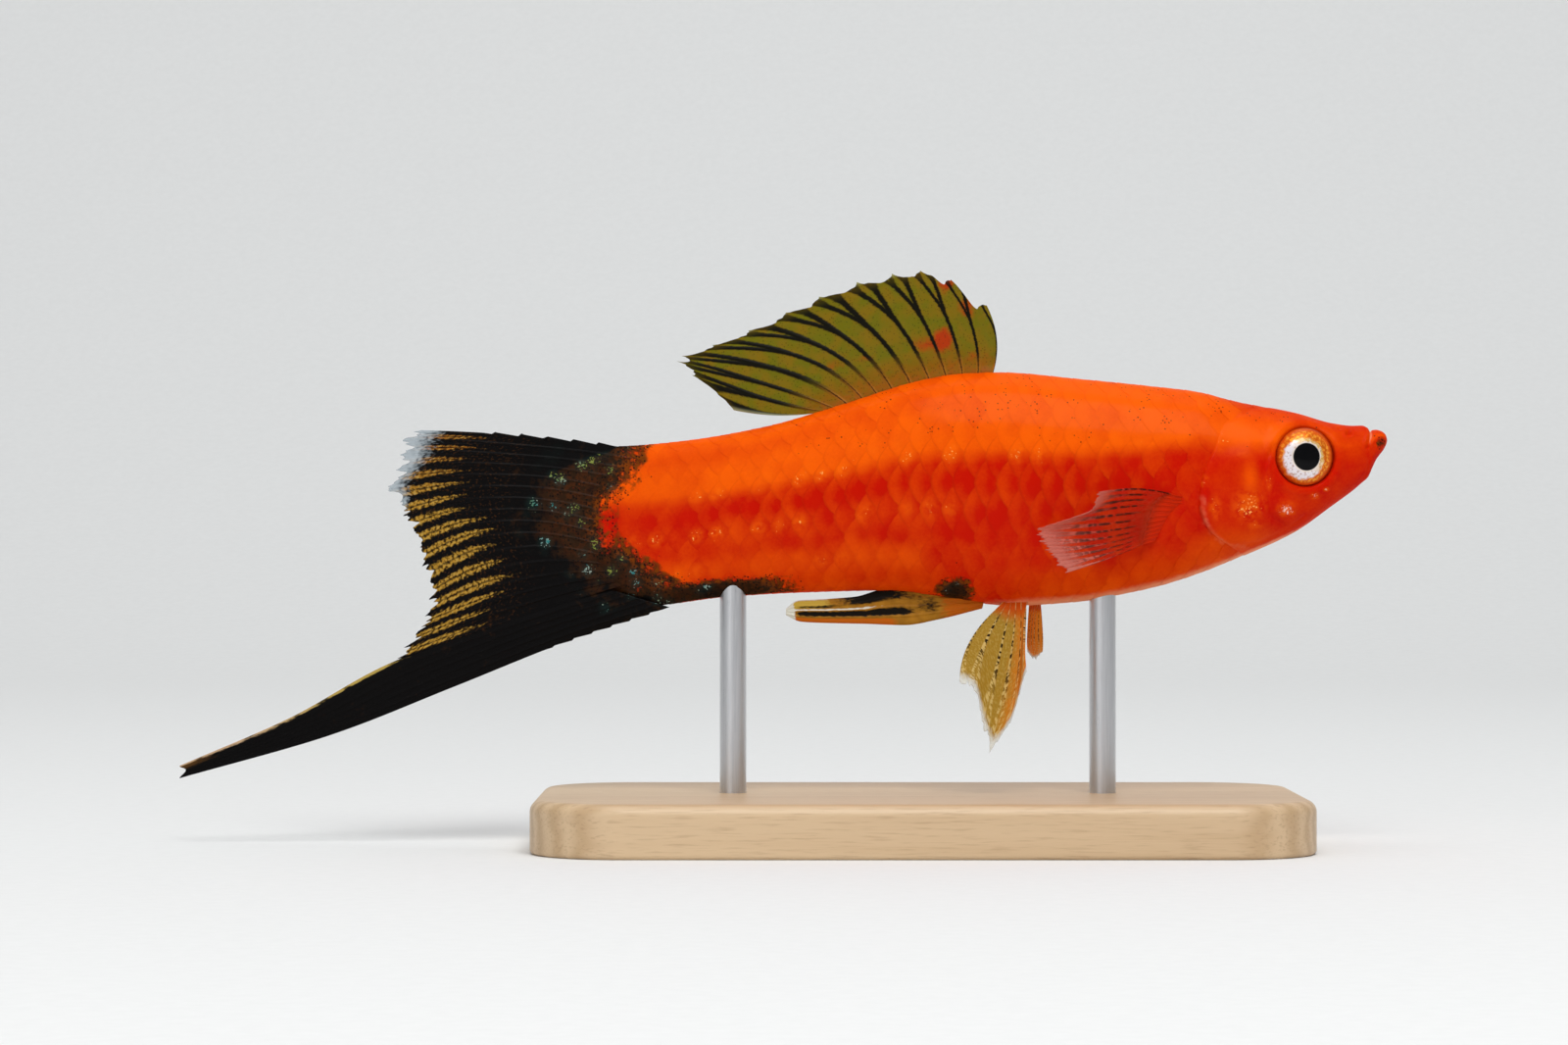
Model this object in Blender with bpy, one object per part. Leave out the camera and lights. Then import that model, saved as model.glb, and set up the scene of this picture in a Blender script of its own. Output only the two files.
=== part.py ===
"""A male red swordtail at life size, held over a wooden base by two steel rods.

Lengths are in millimetres. A place on the fish is (back, up): how far it lies behind the
tip of the snout, and how far above the corner of the mouth. The fish faces +X, its left
side is +Y, up is +Z, and the base rests on the plane z = 0.
"""
import math

import bmesh
import bpy
import numpy as np

MM = 0.001

# Where the fish sits in the model's frame
SNOUT_X = 45.7
MOUTH_Z = 30.5
SWAY = 1.6
SWAY_FROM = 25.0
TOTAL_LENGTH = 91.4

# Side profile and half width of the body
BACK_LINE = [(0, 0.07), (0.11, 0.37), (0.35, 0.68), (0.8, 0.9), (1.4, 0.95), (1.9, 1.24), (2.6, 1.2),
             (4.1, 1.4), (7.0, 2.2), (11.5, 3.1), (14.5, 3.85), (17.4, 4.2), (23.3, 4.8), (29.3, 5.3), (32.2, 5.2),
             (35.2, 4.7), (41.1, 2.9), (47.0, 1.2), (53.0, 0.15), (57.5, -0.25), (62.0, -0.4)]
BELLY_LINE = [(0, 0.07), (0.11, -0.23), (0.35, -0.6), (0.8, -1.26), (1.15, -1.95), (1.5, -2.75),
              (1.9, -3.1), (2.6, -3.7), (4.1, -4.8), (7.1, -6.9), (11.5, -8.9), (14.5, -10.1), (17.4, -11.0),
              (20.4, -11.65), (23.3, -12.15), (28.5, -12.45), (33.0, -11.9), (37.4, -11.3), (44.0, -11.45),
              (50.0, -11.8), (56.0, -12.5), (62.0, -12.6)]
HALF_WIDTH = [(0, 0.05), (0.15, 0.55), (0.5, 0.95), (1.1, 1.15), (1.9, 1.4), (3.4, 1.95), (5.6, 2.55),
              (8.5, 3.2), (11.5, 3.7), (14.5, 4.05), (18.0, 4.3), (23.0, 4.3), (30.7, 3.95), (39.6, 3.05),
              (48.5, 2.15), (52.9, 1.65), (55.9, 1.3), (58.9, 0.95), (62.0, 0.7)]
SQUARENESS = [(0, 2.0), (6, 2.3), (14, 2.2), (30, 2.1), (62, 2.0)]
WIDEST_LEVEL = 0.52
BODY_END = 62.0

# Gap kept between neighbours
GAP = 0.3

# Where the body is parted: behind the gill cover, at the tail's root, and along the scales' end
GILL_SEAM = [(11.4, 5.6), (12.2, 3.3), (13.1, 0.0), (14.2, -2.6), (14.5, -4.6), (13.9, -6.4),
             (12.2, -7.8), (9.7, -9.3), (7.0, -11.1)]
TAIL_SEAM = [(40.2, 6.0), (40.7, 1.5), (41.3, -3.7), (41.6, -8.1), (41.7, -14.1)]
CAUDAL_SEAM = [(55.6, 1.6), (57.4, -0.1), (59.5, -2.1), (60.5, -4.8), (60.6, -7.8), (59.2, -10.4),
               (56.3, -12.0), (54.1, -12.6), (52.4, -14.0)]
SEAM_POINTS = 28
FAR = 120.0
PRISM_DEPTH = 20.0

# Head
EYE_AT = (6.3, -1.2)
EYE_RADIUS = 2.12
EYE_DEPTH = 1.2
EYE_PROUD = 0.42
EYE_TURN = math.radians(14)
SOCKET_PLAY = 0.3
RIM_RADIUS = 2.75
RIM_WIDTH = 0.4
RIM_HEIGHT = 0.16
GILL_COVER_AT = (11.2, -4.1)
GILL_COVER_SIZE = (3.3, 3.8)
GILL_COVER_HEIGHT = 0.28
CHEEK_AT = (7.8, -5.0)
CHEEK_SIZE = (1.5, 1.3)
CHEEK_HEIGHT = 0.14
CHEEK_GROOVE_RADIUS = 4.1
CHEEK_GROOVE_WIDTH = 0.3
CHEEK_GROOVE_DEPTH = 0.14
NOSTRIL_AT = (3.05, 0.62)
NOSTRIL_RADIUS = 0.3
MOUTH_LINE = [(1.05, 2.2), (1.2, 0.9), (1.32, 0.3), (1.42, -0.34)]
MOUTH_OPENING = 0.3

# Paths of (back, up) points across each fin, from its first ray to its last: where its rays start,
# where they are half way, and their tips. Their points lie at even shares of the rays.
# Wave: height and turn of the sideways wave at the edge. Splay: how far out the rays start, how
# far they lead out, and how much of that they lose again by curving back.
DORSAL = {
    "rays": 13,
    "wave": (0.35, 2.5),
    "root": [(29.7, 5.4), (32.1, 5.2), (34.6, 4.7), (37.3, 3.8), (39.6, 3.2), (42.0, 2.6), (43.6, 2.1)],
    "middle": [(29.5, 7.9), (33.2, 9.2), (36.8, 8.7), (40.7, 7.7), (44.3, 6.4), (46.8, 4.3), (46.5, 2.0)],
    "edge": [(30.3, 10.4), (33.1, 12.5), (35.3, 13.0), (37.4, 12.7), (40.1, 12.1), (43.0, 11.0), (45.6, 9.8),
             (48.4, 8.4), (51.2, 7.3), (53.5, 6.5), (53.7, 6.1), (52.7, 5.1), (49.4, 2.4)],
}
CAUDAL = {
    "rays": 16,
    "wave": (0.25, 6.0),
    "root": [(57.7, -0.4), (59.4, -2.5), (60.3, -5.0), (60.5, -7.5), (59.9, -9.8), (58.9, -11.2)],
    "middle": [(65.5, 0.5), (67.4, -1.7), (67.7, -4.3), (67.2, -7.1), (66.4, -10.7), (66.8, -13.75)],
    "edge": [(73.8, 0.9), (74.9, 0.0), (74.8, -1.0), (75.5, -2.2), (76.2, -3.5), (75.1, -4.7), (74.7, -5.9),
             (74.0, -7.0), (73.6, -8.3), (73.2, -9.6), (72.6, -11.0), (72.6, -12.1), (72.9, -13.3),
             (73.6, -14.5), (74.4, -15.6), (75.4, -16.75)],
}
PECTORAL = {
    "rays": 12,
    "splay": (0.12, 4.4, 0.9),
    "root": [(16.6, -4.0), (17.0, -4.7), (17.5, -5.7), (17.9, -6.6), (18.3, -7.5)],
    "middle": [(19.6, -3.6), (21.0, -4.9), (21.9, -6.5), (21.8, -7.8), (21.2, -8.7)],
    "edge": [(22.6, -3.9), (22.9, -5.2), (25.1, -6.0), (27.3, -6.7), (26.7, -7.7), (25.9, -8.8), (24.9, -9.9)],
}
PELVIC_RIGHT = {
    "rays": 6,
    "splay": (0.9, 2.2, 0.0),
    "root": [(29.3, -12.4), (28.3, -12.4), (27.3, -12.4)],
    "middle": [(31.7, -15.2), (30.7, -15.8), (29.7, -17.5), (28.8, -17.9), (27.9, -17.0), (27.5, -14.8)],
    "edge": [(32.4, -18.4), (31.3, -18.9), (30.7, -21.8), (30.2, -23.4), (28.7, -21.3), (27.4, -17.3)],
}
PELVIC_LEFT = {
    "rays": 6,
    "splay": (0.9, 5.2, 0.0),
    "root": [(27.0, -12.4), (26.5, -12.4), (26.1, -12.4)],
    "middle": [(27.0, -14.7), (26.6, -14.8), (25.8, -14.7)],
    "edge": [(26.8, -16.1), (26.3, -16.7), (25.7, -16.1)],
}

# Paths along the upper and the lower edge of the fins whose rays run lengthwise, from root to tip
SWORD = {
    "rays": 7,
    "upper": [(58.9, -11.6), (66.8, -14.15), (75.5, -17.15), (83.0, -21.0), (91.4, -24.55)],
    "lower": [(54.2, -12.5), (62.2, -15.2), (70.7, -18.6), (79.9, -22.2), (91.4, -25.5)],
    "thickness": [(0, 1.0), (0.3, 0.6), (0.8, 0.5), (1, 0.3)],
}
GONOPODIUM = {
    "rays": 5,
    "upper": [(30.4, -12.0), (34.0, -11.7), (37.5, -11.4), (40.2, -11.75), (42.8, -11.9),
              (44.5, -12.0), (45.4, -12.6)],
    "lower": [(30.6, -12.6), (33.8, -13.4), (36.5, -13.85), (39.5, -13.75), (42.0, -13.7),
              (44.2, -13.6), (45.4, -13.1)],
    "thickness": [(0, 1.3), (0.35, 1.0), (0.8, 0.75), (1, 0.5)],
}

# Fin blades: thickness of the membrane and near its edge, what a ray adds, and the shares of a
# ray's length where the blade starts to thin, of its spacing that it fills, and sunk in the body
MEMBRANE = 0.5
MEMBRANE_TIP = 0.36
CAUDAL_ROOT = 1.1
RAY_HEIGHT = 0.3
THIN_FROM = 0.75
RAY_LOST_AT_TIP = 0.6
RAY_SHARE = 0.24
SUNK = 0.12

# Display stand
BASE_SIZE = (58.0, 30.0, 4.0)
BASE_AT_X = 10.4
BASE_CORNER = 7.0
BASE_EDGE = 0.9
ROD_RADIUS = 1.0
ROD_BACKS = {"front": 21.5, "rear": 49.4}

FINISHES = {
    "skin": ((0.80, 0.09, 0.01), 0.35, 0.0),
    "eye": ((0.80, 0.62, 0.45), 0.12, 0.0),
    "dorsal": ((0.50, 0.36, 0.05), 0.4, 0.0),
    "black_fin": ((0.02, 0.018, 0.015), 0.4, 0.0),
    "pectoral": ((0.75, 0.25, 0.16), 0.35, 0.0),
    "pelvic": ((0.85, 0.45, 0.08), 0.35, 0.0),
    "wood": ((0.55, 0.38, 0.22), 0.5, 0.0),
    "steel": ((0.62, 0.62, 0.63), 0.3, 1.0),
}


def smooth(points, at):
    """Curve through (x, y) points with no overshoot: each slope is the harmonic mean of its neighbours'."""
    x, y = np.array(points, dtype=float).T
    step = np.diff(x)
    rise = np.diff(y) / step
    product = rise[:-1] * rise[1:]
    total = np.where(product > 0, rise[:-1] + rise[1:], 1.0)
    slope = np.concatenate([rise[:1], np.where(product > 0, 2 * product / total, 0.0), rise[-1:]])
    at = np.asarray(at, dtype=float)
    k = np.clip(np.searchsorted(x, at) - 1, 0, len(step) - 1)
    t = (at - x[k]) / step[k]
    start = (1 + 2 * t) * (1 - t) ** 2 * y[k] + t * (1 - t) ** 2 * step[k] * slope[k]
    end = t ** 2 * (3 - 2 * t) * y[k + 1] + t ** 2 * (t - 1) * step[k] * slope[k + 1]
    return start + end


def smooth_path(points, shares):
    """Points along a smooth path through the given (back, up) points, at shares 0 to 1 of their count."""
    knots = np.linspace(0, 1, len(points))
    backs = smooth(list(zip(knots, [p[0] for p in points])), shares)
    ups = smooth(list(zip(knots, [p[1] for p in points])), shares)
    return np.stack([backs, ups], axis=-1)


def ramp(value, low, high):
    """0 below low, 1 above high and an S-shaped rise between."""
    t = np.clip((value - low) / (high - low), 0, 1)
    return t * t * (3 - 2 * t)


def placed(back, up, out):
    """Place in metres of a point given by back, up and out to the fish's left, with the tail's sway added."""
    bend = SWAY * (np.maximum(back - SWAY_FROM, 0) / (TOTAL_LENGTH - SWAY_FROM)) ** 2
    back, up, out = np.broadcast_arrays(back, up, out)
    return np.stack([SNOUT_X - back, out + bend, MOUTH_Z + up], axis=-1) * MM


def section(back):
    """Widest level, reach up, reach down, half width and squareness of the body at a distance back."""
    top, bottom = smooth(BACK_LINE, back), smooth(BELLY_LINE, back)
    level = bottom + WIDEST_LEVEL * (top - bottom)
    return level, top - level, level - bottom, smooth(HALF_WIDTH, back), smooth(SQUARENESS, back)


def flank(back, up):
    """How far the body's side lies from its middle plane at a height."""
    level, above, below, width, power = section(back)
    height = np.where(up > level, (up - level) / above, (level - up) / below)
    return width * (1 - np.clip(height, 0, 1) ** power) ** (1 / power)


def head_relief(back, up):
    """Height of the gill cover, the cheek, its rear groove and the rim of the eye over the plain flank."""
    gill = np.hypot((back - GILL_COVER_AT[0]) / GILL_COVER_SIZE[0], (up - GILL_COVER_AT[1]) / GILL_COVER_SIZE[1])
    cheek = np.hypot((back - CHEEK_AT[0]) / CHEEK_SIZE[0], (up - CHEEK_AT[1]) / CHEEK_SIZE[1])
    behind, over = back - EYE_AT[0], up - EYE_AT[1]
    eye = np.hypot(behind, over)
    rear_and_low = ramp(behind - over, 1.5, 4.0) * ramp(behind, -0.8, 1.0)
    groove = np.exp(-((eye - CHEEK_GROOVE_RADIUS) / CHEEK_GROOVE_WIDTH) ** 2) * rear_and_low
    return (GILL_COVER_HEIGHT * ramp(gill, 1.0, 0.8)
            + CHEEK_HEIGHT * ramp(cheek, 1.0, 0.2)
            - CHEEK_GROOVE_DEPTH * groove
            + RIM_HEIGHT * np.exp(-((eye - RIM_RADIUS) / RIM_WIDTH) ** 2))


def collection(name):
    """A new collection under the scene's own."""
    made = bpy.data.collections.new(name)
    bpy.context.scene.collection.children.link(made)
    return made


def finish(name):
    """Principled material with one of the finishes listed above."""
    made = bpy.data.materials.get(name)
    if made is None:
        color, roughness, metallic = FINISHES[name]
        made = bpy.data.materials.new(name)
        made.use_nodes = True
        shader = made.node_tree.nodes["Principled BSDF"]
        shader.inputs["Base Color"].default_value = (*color, 1.0)
        shader.inputs["Roughness"].default_value = roughness
        shader.inputs["Metallic"].default_value = metallic
    return made


def add_object(name, mesh, group, finish_name=None):
    """Put a mesh into a collection as an object; a cutter has no finish and shows as wire."""
    made = bpy.data.objects.new(name, mesh)
    group.objects.link(made)
    if finish_name:
        mesh.materials.clear()
        mesh.materials.append(finish(finish_name))
    else:
        made.hide_render = True
        made.display_type = "WIRE"
    return made


def sheet_faces(rows, columns, first, turned):
    """Two triangles for each cell of a grid of points, with the same diagonal whichever way it faces."""
    r, c = np.meshgrid(np.arange(rows - 1), np.arange(columns - 1), indexing="ij")
    a = (first + r * columns + c).ravel()
    b, d, e = a + 1, a + columns, a + columns + 1
    faces = np.concatenate([np.stack([a, b, e], -1), np.stack([a, e, d], -1)])
    return faces[:, ::-1] if turned else faces


def tube_mesh(name, rings):
    """Closed mesh over rings of points, with a flat cap on the first and the last ring."""
    count, sides = rings.shape[:2]
    i, j = np.meshgrid(np.arange(count - 1), np.arange(sides), indexing="ij")
    a = (i * sides + j).ravel()
    b = (i * sides + (j + 1) % sides).ravel()
    faces = np.stack([a, b, b + sides, a + sides], -1).tolist()
    faces.append(list(range(sides))[::-1])
    faces.append([(count - 1) * sides + k for k in range(sides)])
    mesh = bpy.data.meshes.new(name)
    mesh.from_pydata(rings.reshape(-1, 3).tolist(), [], faces)
    face_outwards(mesh)
    return mesh


def face_outwards(mesh):
    """Turn the faces of a closed mesh to point out, and split them into triangles."""
    work = bmesh.new()
    work.from_mesh(mesh)
    bmesh.ops.recalc_face_normals(work, faces=work.faces)
    bmesh.ops.triangulate(work, faces=work.faces)
    work.to_mesh(mesh)
    work.free()
    mesh.shade_smooth()


def loft(name, backs, sides, grow=0.0, relief=None):
    """Body mesh over stations: each ring is a rounded oval of the section's width and two heights."""
    level, above, below, width, power = (v[:, None] for v in section(backs))
    angle = np.linspace(0, 2 * np.pi, sides, endpoint=False)[None, :]
    side, rise = np.sin(angle), np.cos(angle)
    reach = np.where(rise > 0, above, below) + grow
    out = (width + grow) * np.sign(side) * np.abs(side) ** (2 / power)
    up = level + reach * np.sign(rise) * np.abs(rise) ** (2 / power)
    back = np.broadcast_to(backs[:, None], up.shape)
    if relief is not None:
        out = out + np.sign(side) * relief(back, up) * ramp(np.abs(side), 0.05, 0.5)
    return tube_mesh(name, placed(back, up, out))


def largest_piece(mesh):
    """Keep only the largest closed surface of a mesh."""
    work = bmesh.new()
    work.from_mesh(mesh)
    left = set(work.faces)
    pieces = []
    while left:
        piece, edge = set(), [left.pop()]
        while edge:
            face = edge.pop()
            piece.add(face)
            for near in {f for e in face.edges for f in e.link_faces} & left:
                left.discard(near)
                edge.append(near)
        pieces.append(piece)
    pieces.sort(key=len)
    for piece in pieces[:-1]:
        bmesh.ops.delete(work, geom=list(piece), context="FACES")
    bmesh.ops.triangulate(work, faces=work.faces)
    work.to_mesh(mesh)
    work.free()


def combine(target, cutter, operation, solver="EXACT"):
    """Apply one Boolean of a cutter to an object, and keep the object's largest closed surface."""
    modifier = target.modifiers.new(cutter.name, "BOOLEAN")
    modifier.operation = operation
    modifier.object = cutter
    modifier.solver = solver
    view = bpy.context.evaluated_depsgraph_get()
    result = bpy.data.meshes.new_from_object(target.evaluated_get(view))
    target.modifiers.clear()
    target.data = result
    largest_piece(result)
    result.shade_smooth()
    result.set_sharp_from_angle(angle=math.radians(35))


def prism(name, outline):
    """Cutter with a flat outline in the side view, standing right through the fish."""
    curve = bpy.data.curves.new(name, "CURVE")
    curve.dimensions = "2D"
    curve.fill_mode = "BOTH"
    curve.extrude = PRISM_DEPTH * MM
    spline = curve.splines.new("POLY")
    spline.points.add(len(outline) - 1)
    for point, (back, up) in zip(spline.points, outline):
        point.co = ((SNOUT_X - back) * MM, (MOUTH_Z + up) * MM, 0.0, 1.0)
    spline.use_cyclic_u = True
    flat = bpy.data.objects.new(name, curve)
    CUTTERS.objects.link(flat)
    mesh = bpy.data.meshes.new_from_object(flat.evaluated_get(bpy.context.evaluated_depsgraph_get()))
    bpy.data.objects.remove(flat)
    work = bmesh.new()
    work.from_mesh(mesh)
    bmesh.ops.remove_doubles(work, verts=work.verts, dist=1e-6)
    bmesh.ops.recalc_face_normals(work, faces=work.faces)
    work.to_mesh(mesh)
    work.free()
    made = add_object(name, mesh, CUTTERS)
    made.rotation_euler = (math.radians(90), 0, 0)
    return made


def seam_side(seam, end):
    """Outline of all that lies before a seam (end -1) or behind it (end 1), half a gap away from it."""
    line = smooth_path(seam, np.linspace(0, 1, SEAM_POINTS))
    run = np.gradient(line, axis=0)
    backward = np.stack([-run[:, 1], run[:, 0]], -1) / np.hypot(run[:, 0], run[:, 1])[:, None]
    line = line + end * GAP / 2 * backward
    far = end * FAR
    return [(far, FAR), (line[0][0], FAR), *line.tolist(), (line[-1][0], -FAR), (far, -FAR)]


def fin_columns(ray_count):
    """Shares across the fin of its columns of points, and which of them run along a ray."""
    step = 1 / (ray_count - 1)
    rays = np.linspace(0, 1, ray_count)
    columns = np.concatenate([rays, rays[:-1] + RAY_SHARE * step, rays[1:] - RAY_SHARE * step])
    on_ray = np.concatenate([np.ones(ray_count), np.zeros(2 * ray_count - 2)])
    order = np.argsort(columns)
    return columns[order], on_ray[order]


def blade_mesh(name, middle, thickness):
    """Closed mesh of two like sheets, half a thickness each side of a grid of points, and their rim."""
    along = np.gradient(middle, axis=0)
    across = np.gradient(middle, axis=1)
    normal = np.cross(along, across)
    normal /= np.linalg.norm(normal, axis=-1, keepdims=True)
    rows, columns = middle.shape[:2]
    half = normal * thickness[..., None] / 2
    points = np.concatenate([(middle + half).reshape(-1, 3), (middle - half).reshape(-1, 3)]) * MM
    far = rows * columns
    loop = np.concatenate([np.arange(columns), np.arange(1, rows) * columns + columns - 1,
                           (rows - 1) * columns + np.arange(columns - 2, -1, -1),
                           np.arange(rows - 2, 0, -1) * columns])
    after = np.roll(loop, -1)
    faces = np.concatenate([sheet_faces(rows, columns, 0, True), sheet_faces(rows, columns, far, False),
                            np.stack([loop, after, after + far], -1),
                            np.stack([loop, after + far, loop + far], -1)])
    mesh = bpy.data.meshes.new(name)
    mesh.from_pydata(points.tolist(), [], faces.tolist())
    face_outwards(mesh)
    return mesh


def fan_fin(name, form, rows, out, finish_name, notch=0.03, root_thickness=MEMBRANE):
    """Fin whose rays fan from root to edge: each ray is a parabola through its root, middle and tip.

    out(share, along) gives how far the blade stands to the fish's left. Between rays the edge
    is drawn in by the notch, a share of the ray's length.
    """
    columns, on_ray = fin_columns(form["rays"])
    root, middle, edge = (smooth_path(form[path], columns) for path in ("root", "middle", "edge"))
    along = np.linspace(-SUNK, 1, rows)[:, None] * (1 - notch * (1 - on_ray))[None, :]
    t = along[..., None]
    flat = root * (1 - t) * (1 - 2 * t) + middle * 4 * t * (1 - t) + edge * t * (2 * t - 1)
    across = np.broadcast_to(columns[None, :], along.shape)
    place = placed(flat[..., 0], flat[..., 1], out(across, along)) / MM
    fade = ramp(along, THIN_FROM, 1.0)
    thickness = (MEMBRANE + (MEMBRANE_TIP - MEMBRANE) * fade
                 + RAY_HEIGHT * on_ray * (1 - RAY_LOST_AT_TIP * fade)
                 + (root_thickness - MEMBRANE) * ramp(along, 0.4, 0.0))
    return add_object(name, blade_mesh(name, place, thickness), FISH, finish_name)


def wave(form):
    """Sideways wave of an upright fin, growing towards the tips of its rays."""
    height, turn = form["wave"]
    return lambda share, along: height * np.sin(turn * share) * along ** 2


def splay(form, side, flanks=((0, 0.0), (1, 0.0))):
    """Outward lead of a paired fin on one side, from the body's flank at its first and last ray."""
    start, lead, curl = form["splay"]
    return lambda share, along: side * (smooth(flanks, share) + start + lead * along - curl * along ** 2)


def strip_fin(name, form, rows, finish_name):
    """Long fin whose rays run lengthwise, side by side between its upper and its lower path."""
    columns, on_ray = fin_columns(form["rays"])
    shares = np.linspace(0, 1, rows)
    top, bottom = (smooth_path(form[path], shares)[:, None, :] for path in ("upper", "lower"))
    flat = top + (bottom - top) * columns[None, :, None]
    place = placed(flat[..., 0], flat[..., 1], np.zeros(flat.shape[:2])) / MM
    along = shares[:, None]
    thickness = (smooth(form["thickness"], along)
                 + RAY_HEIGHT * on_ray[None, :] * (1 - ramp(along, THIN_FROM, 1.0)))
    return add_object(name, blade_mesh(name, place, thickness), FISH, finish_name)


def build_body():
    """Head, trunk and tail stalk, parted along the seams, and a cutter that clears what grows from them."""
    head_backs = 17.0 * np.linspace(0.005, 1, 38) ** 1.6
    head = add_object("head", loft("head", head_backs, 40, relief=head_relief), FISH, "skin")
    combine(head, prism("head_side", seam_side(GILL_SEAM, -1)), "INTERSECT")
    cut_head(head)

    trunk = add_object("trunk", loft("trunk", np.linspace(5.0, 46.0, 32), 34), FISH, "skin")
    combine(trunk, prism("behind_head", seam_side(GILL_SEAM, 1)), "INTERSECT")
    combine(trunk, prism("before_tail", seam_side(TAIL_SEAM, -1)), "INTERSECT")

    tail = add_object("tail_peduncle", loft("tail_peduncle", np.linspace(36.0, BODY_END, 22), 36), FISH, "skin")
    combine(tail, prism("behind_trunk", seam_side(TAIL_SEAM, 1)), "INTERSECT")
    combine(tail, prism("before_caudal", seam_side(CAUDAL_SEAM, -1)), "INTERSECT")

    backs = np.concatenate([[0.05, 0.5, 1.5], np.linspace(3.0, BODY_END, 44)])
    return add_object("grown_body", loft("grown_body", backs, 36, grow=GAP), CUTTERS)


def cut_head(head):
    """Cut the eye sockets, the nostrils and the line of the mouth into the head."""
    for side in (-1, 1):
        socket = eye_ball(f"socket_{side}", side, SOCKET_PLAY, CUTTERS, None)
        combine(head, socket, "DIFFERENCE")
        bpy.ops.mesh.primitive_uv_sphere_add(segments=10, ring_count=6, radius=NOSTRIL_RADIUS * MM)
        nostril = bpy.context.object
        place = placed(*NOSTRIL_AT, side * (flank(*NOSTRIL_AT) + 0.5 * NOSTRIL_RADIUS))
        nostril.location = place
        as_cutter(nostril, f"nostril_{side}")
        combine(head, nostril, "DIFFERENCE")
    line = smooth_path(MOUTH_LINE, np.linspace(0, 1, 8))
    front = [(b - MOUTH_OPENING / 2, u) for b, u in line]
    rear = [(b + MOUTH_OPENING / 2, u) for b, u in line[::-1]]
    combine(head, prism("mouth_line", front + rear), "DIFFERENCE")


def as_cutter(made, name):
    """Move an object into the cutters' collection and show it as wire."""
    made.name = name
    for group in list(made.users_collection):
        group.objects.unlink(made)
    CUTTERS.objects.link(made)
    made.hide_render = True
    made.display_type = "WIRE"


def eye_ball(name, side, play, group, finish_name):
    """Flattened ball facing out and a little forward, grown by its play for the socket."""
    work = bmesh.new()
    bmesh.ops.create_uvsphere(work, u_segments=22, v_segments=11, radius=MM)
    mesh = bpy.data.meshes.new(name)
    work.to_mesh(mesh)
    work.free()
    points = np.array([v.co for v in mesh.vertices])
    points = points * (EYE_RADIUS + play, EYE_RADIUS + play, EYE_DEPTH + play)
    around, upward, outward = points.T
    turn_cos, turn_sin = math.cos(EYE_TURN), math.sin(EYE_TURN)
    forward = around * turn_cos + outward * turn_sin
    outward = (outward * turn_cos - around * turn_sin) * side
    centre = placed(*EYE_AT, side * (float(flank(*EYE_AT)) + EYE_PROUD - EYE_DEPTH))
    place = np.stack([forward, outward, upward], -1) + centre
    mesh.vertices.foreach_set("co", place.ravel())
    face_outwards(mesh)
    return add_object(name, mesh, group, finish_name)


def build_fins(grown_body):
    """All fins, each sunk in the body and then cut clear of it by the gap."""
    dorsal = fan_fin("dorsal_fin", DORSAL, 9, wave(DORSAL), "dorsal", notch=0.05)
    combine(dorsal, grown_body, "DIFFERENCE")

    caudal = fan_fin("caudal_fin", CAUDAL, 9, wave(CAUDAL), "black_fin", root_thickness=CAUDAL_ROOT)
    sword = strip_fin("caudal_sword", SWORD, 14, "black_fin")
    past_body = prism("past_body", seam_side(CAUDAL_SEAM, 1))
    combine(caudal, past_body, "INTERSECT")
    combine(sword, past_body, "INTERSECT")

    flanks = [(0, flank(*PECTORAL["root"][0])), (1, flank(*PECTORAL["root"][-1]))]
    for side, label in ((-1, "right"), (1, "left")):
        pectoral = fan_fin(f"pectoral_fin_{label}", PECTORAL, 6, splay(PECTORAL, side, flanks), "pectoral")
        combine(pectoral, grown_body, "DIFFERENCE")

    right = fan_fin("pelvic_fin_right", PELVIC_RIGHT, 9, splay(PELVIC_RIGHT, -1), "pelvic")
    combine(right, grown_body, "DIFFERENCE", "MANIFOLD")
    left = fan_fin("pelvic_fin_left", PELVIC_LEFT, 8, splay(PELVIC_LEFT, 1), "pelvic")
    combine(left, grown_body, "DIFFERENCE")

    gonopodium = strip_fin("gonopodium", GONOPODIUM, 14, "pelvic")
    combine(gonopodium, grown_body, "DIFFERENCE")


def build_stand(grown_body):
    """Wooden base and two rods, whose tops are cut to the belly."""
    length, width, height = (v * MM for v in BASE_SIZE)
    bpy.ops.mesh.primitive_cube_add(size=1, location=(0, 0, 0))
    base = bpy.context.object
    base.scale = (length, width, height)
    bpy.ops.object.transform_apply(location=False, rotation=False, scale=True)
    base.name = "stand_base"
    work = bmesh.new()
    work.from_mesh(base.data)
    upright = [e for e in work.edges if abs(e.verts[0].co.z - e.verts[1].co.z) > 0.5 * height]
    bmesh.ops.bevel(work, geom=upright, offset=BASE_CORNER * MM, segments=8, profile=0.5, affect="EDGES")
    top = [e for e in work.edges if min(v.co.z for v in e.verts) > 0.4 * height]
    bmesh.ops.bevel(work, geom=top, offset=BASE_EDGE * MM, segments=3, profile=0.5, affect="EDGES")
    work.to_mesh(base.data)
    work.free()
    base.location = (BASE_AT_X * MM, 0, height / 2)
    to_fish(base, "wood")

    for label, back in ROD_BACKS.items():
        foot = BASE_SIZE[2] + GAP
        head_room = MOUTH_Z + float(smooth(BELLY_LINE, back)) + 2.0
        bpy.ops.mesh.primitive_cylinder_add(vertices=24, radius=ROD_RADIUS * MM, depth=(head_room - foot) * MM)
        rod = bpy.context.object
        rod.name = f"stand_rod_{label}"
        place = placed(np.array(back), 0.0, 0.0)
        rod.location = (place[0], place[1], (head_room + foot) / 2 * MM)
        to_fish(rod, "steel")
        combine(rod, grown_body, "DIFFERENCE")


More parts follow.
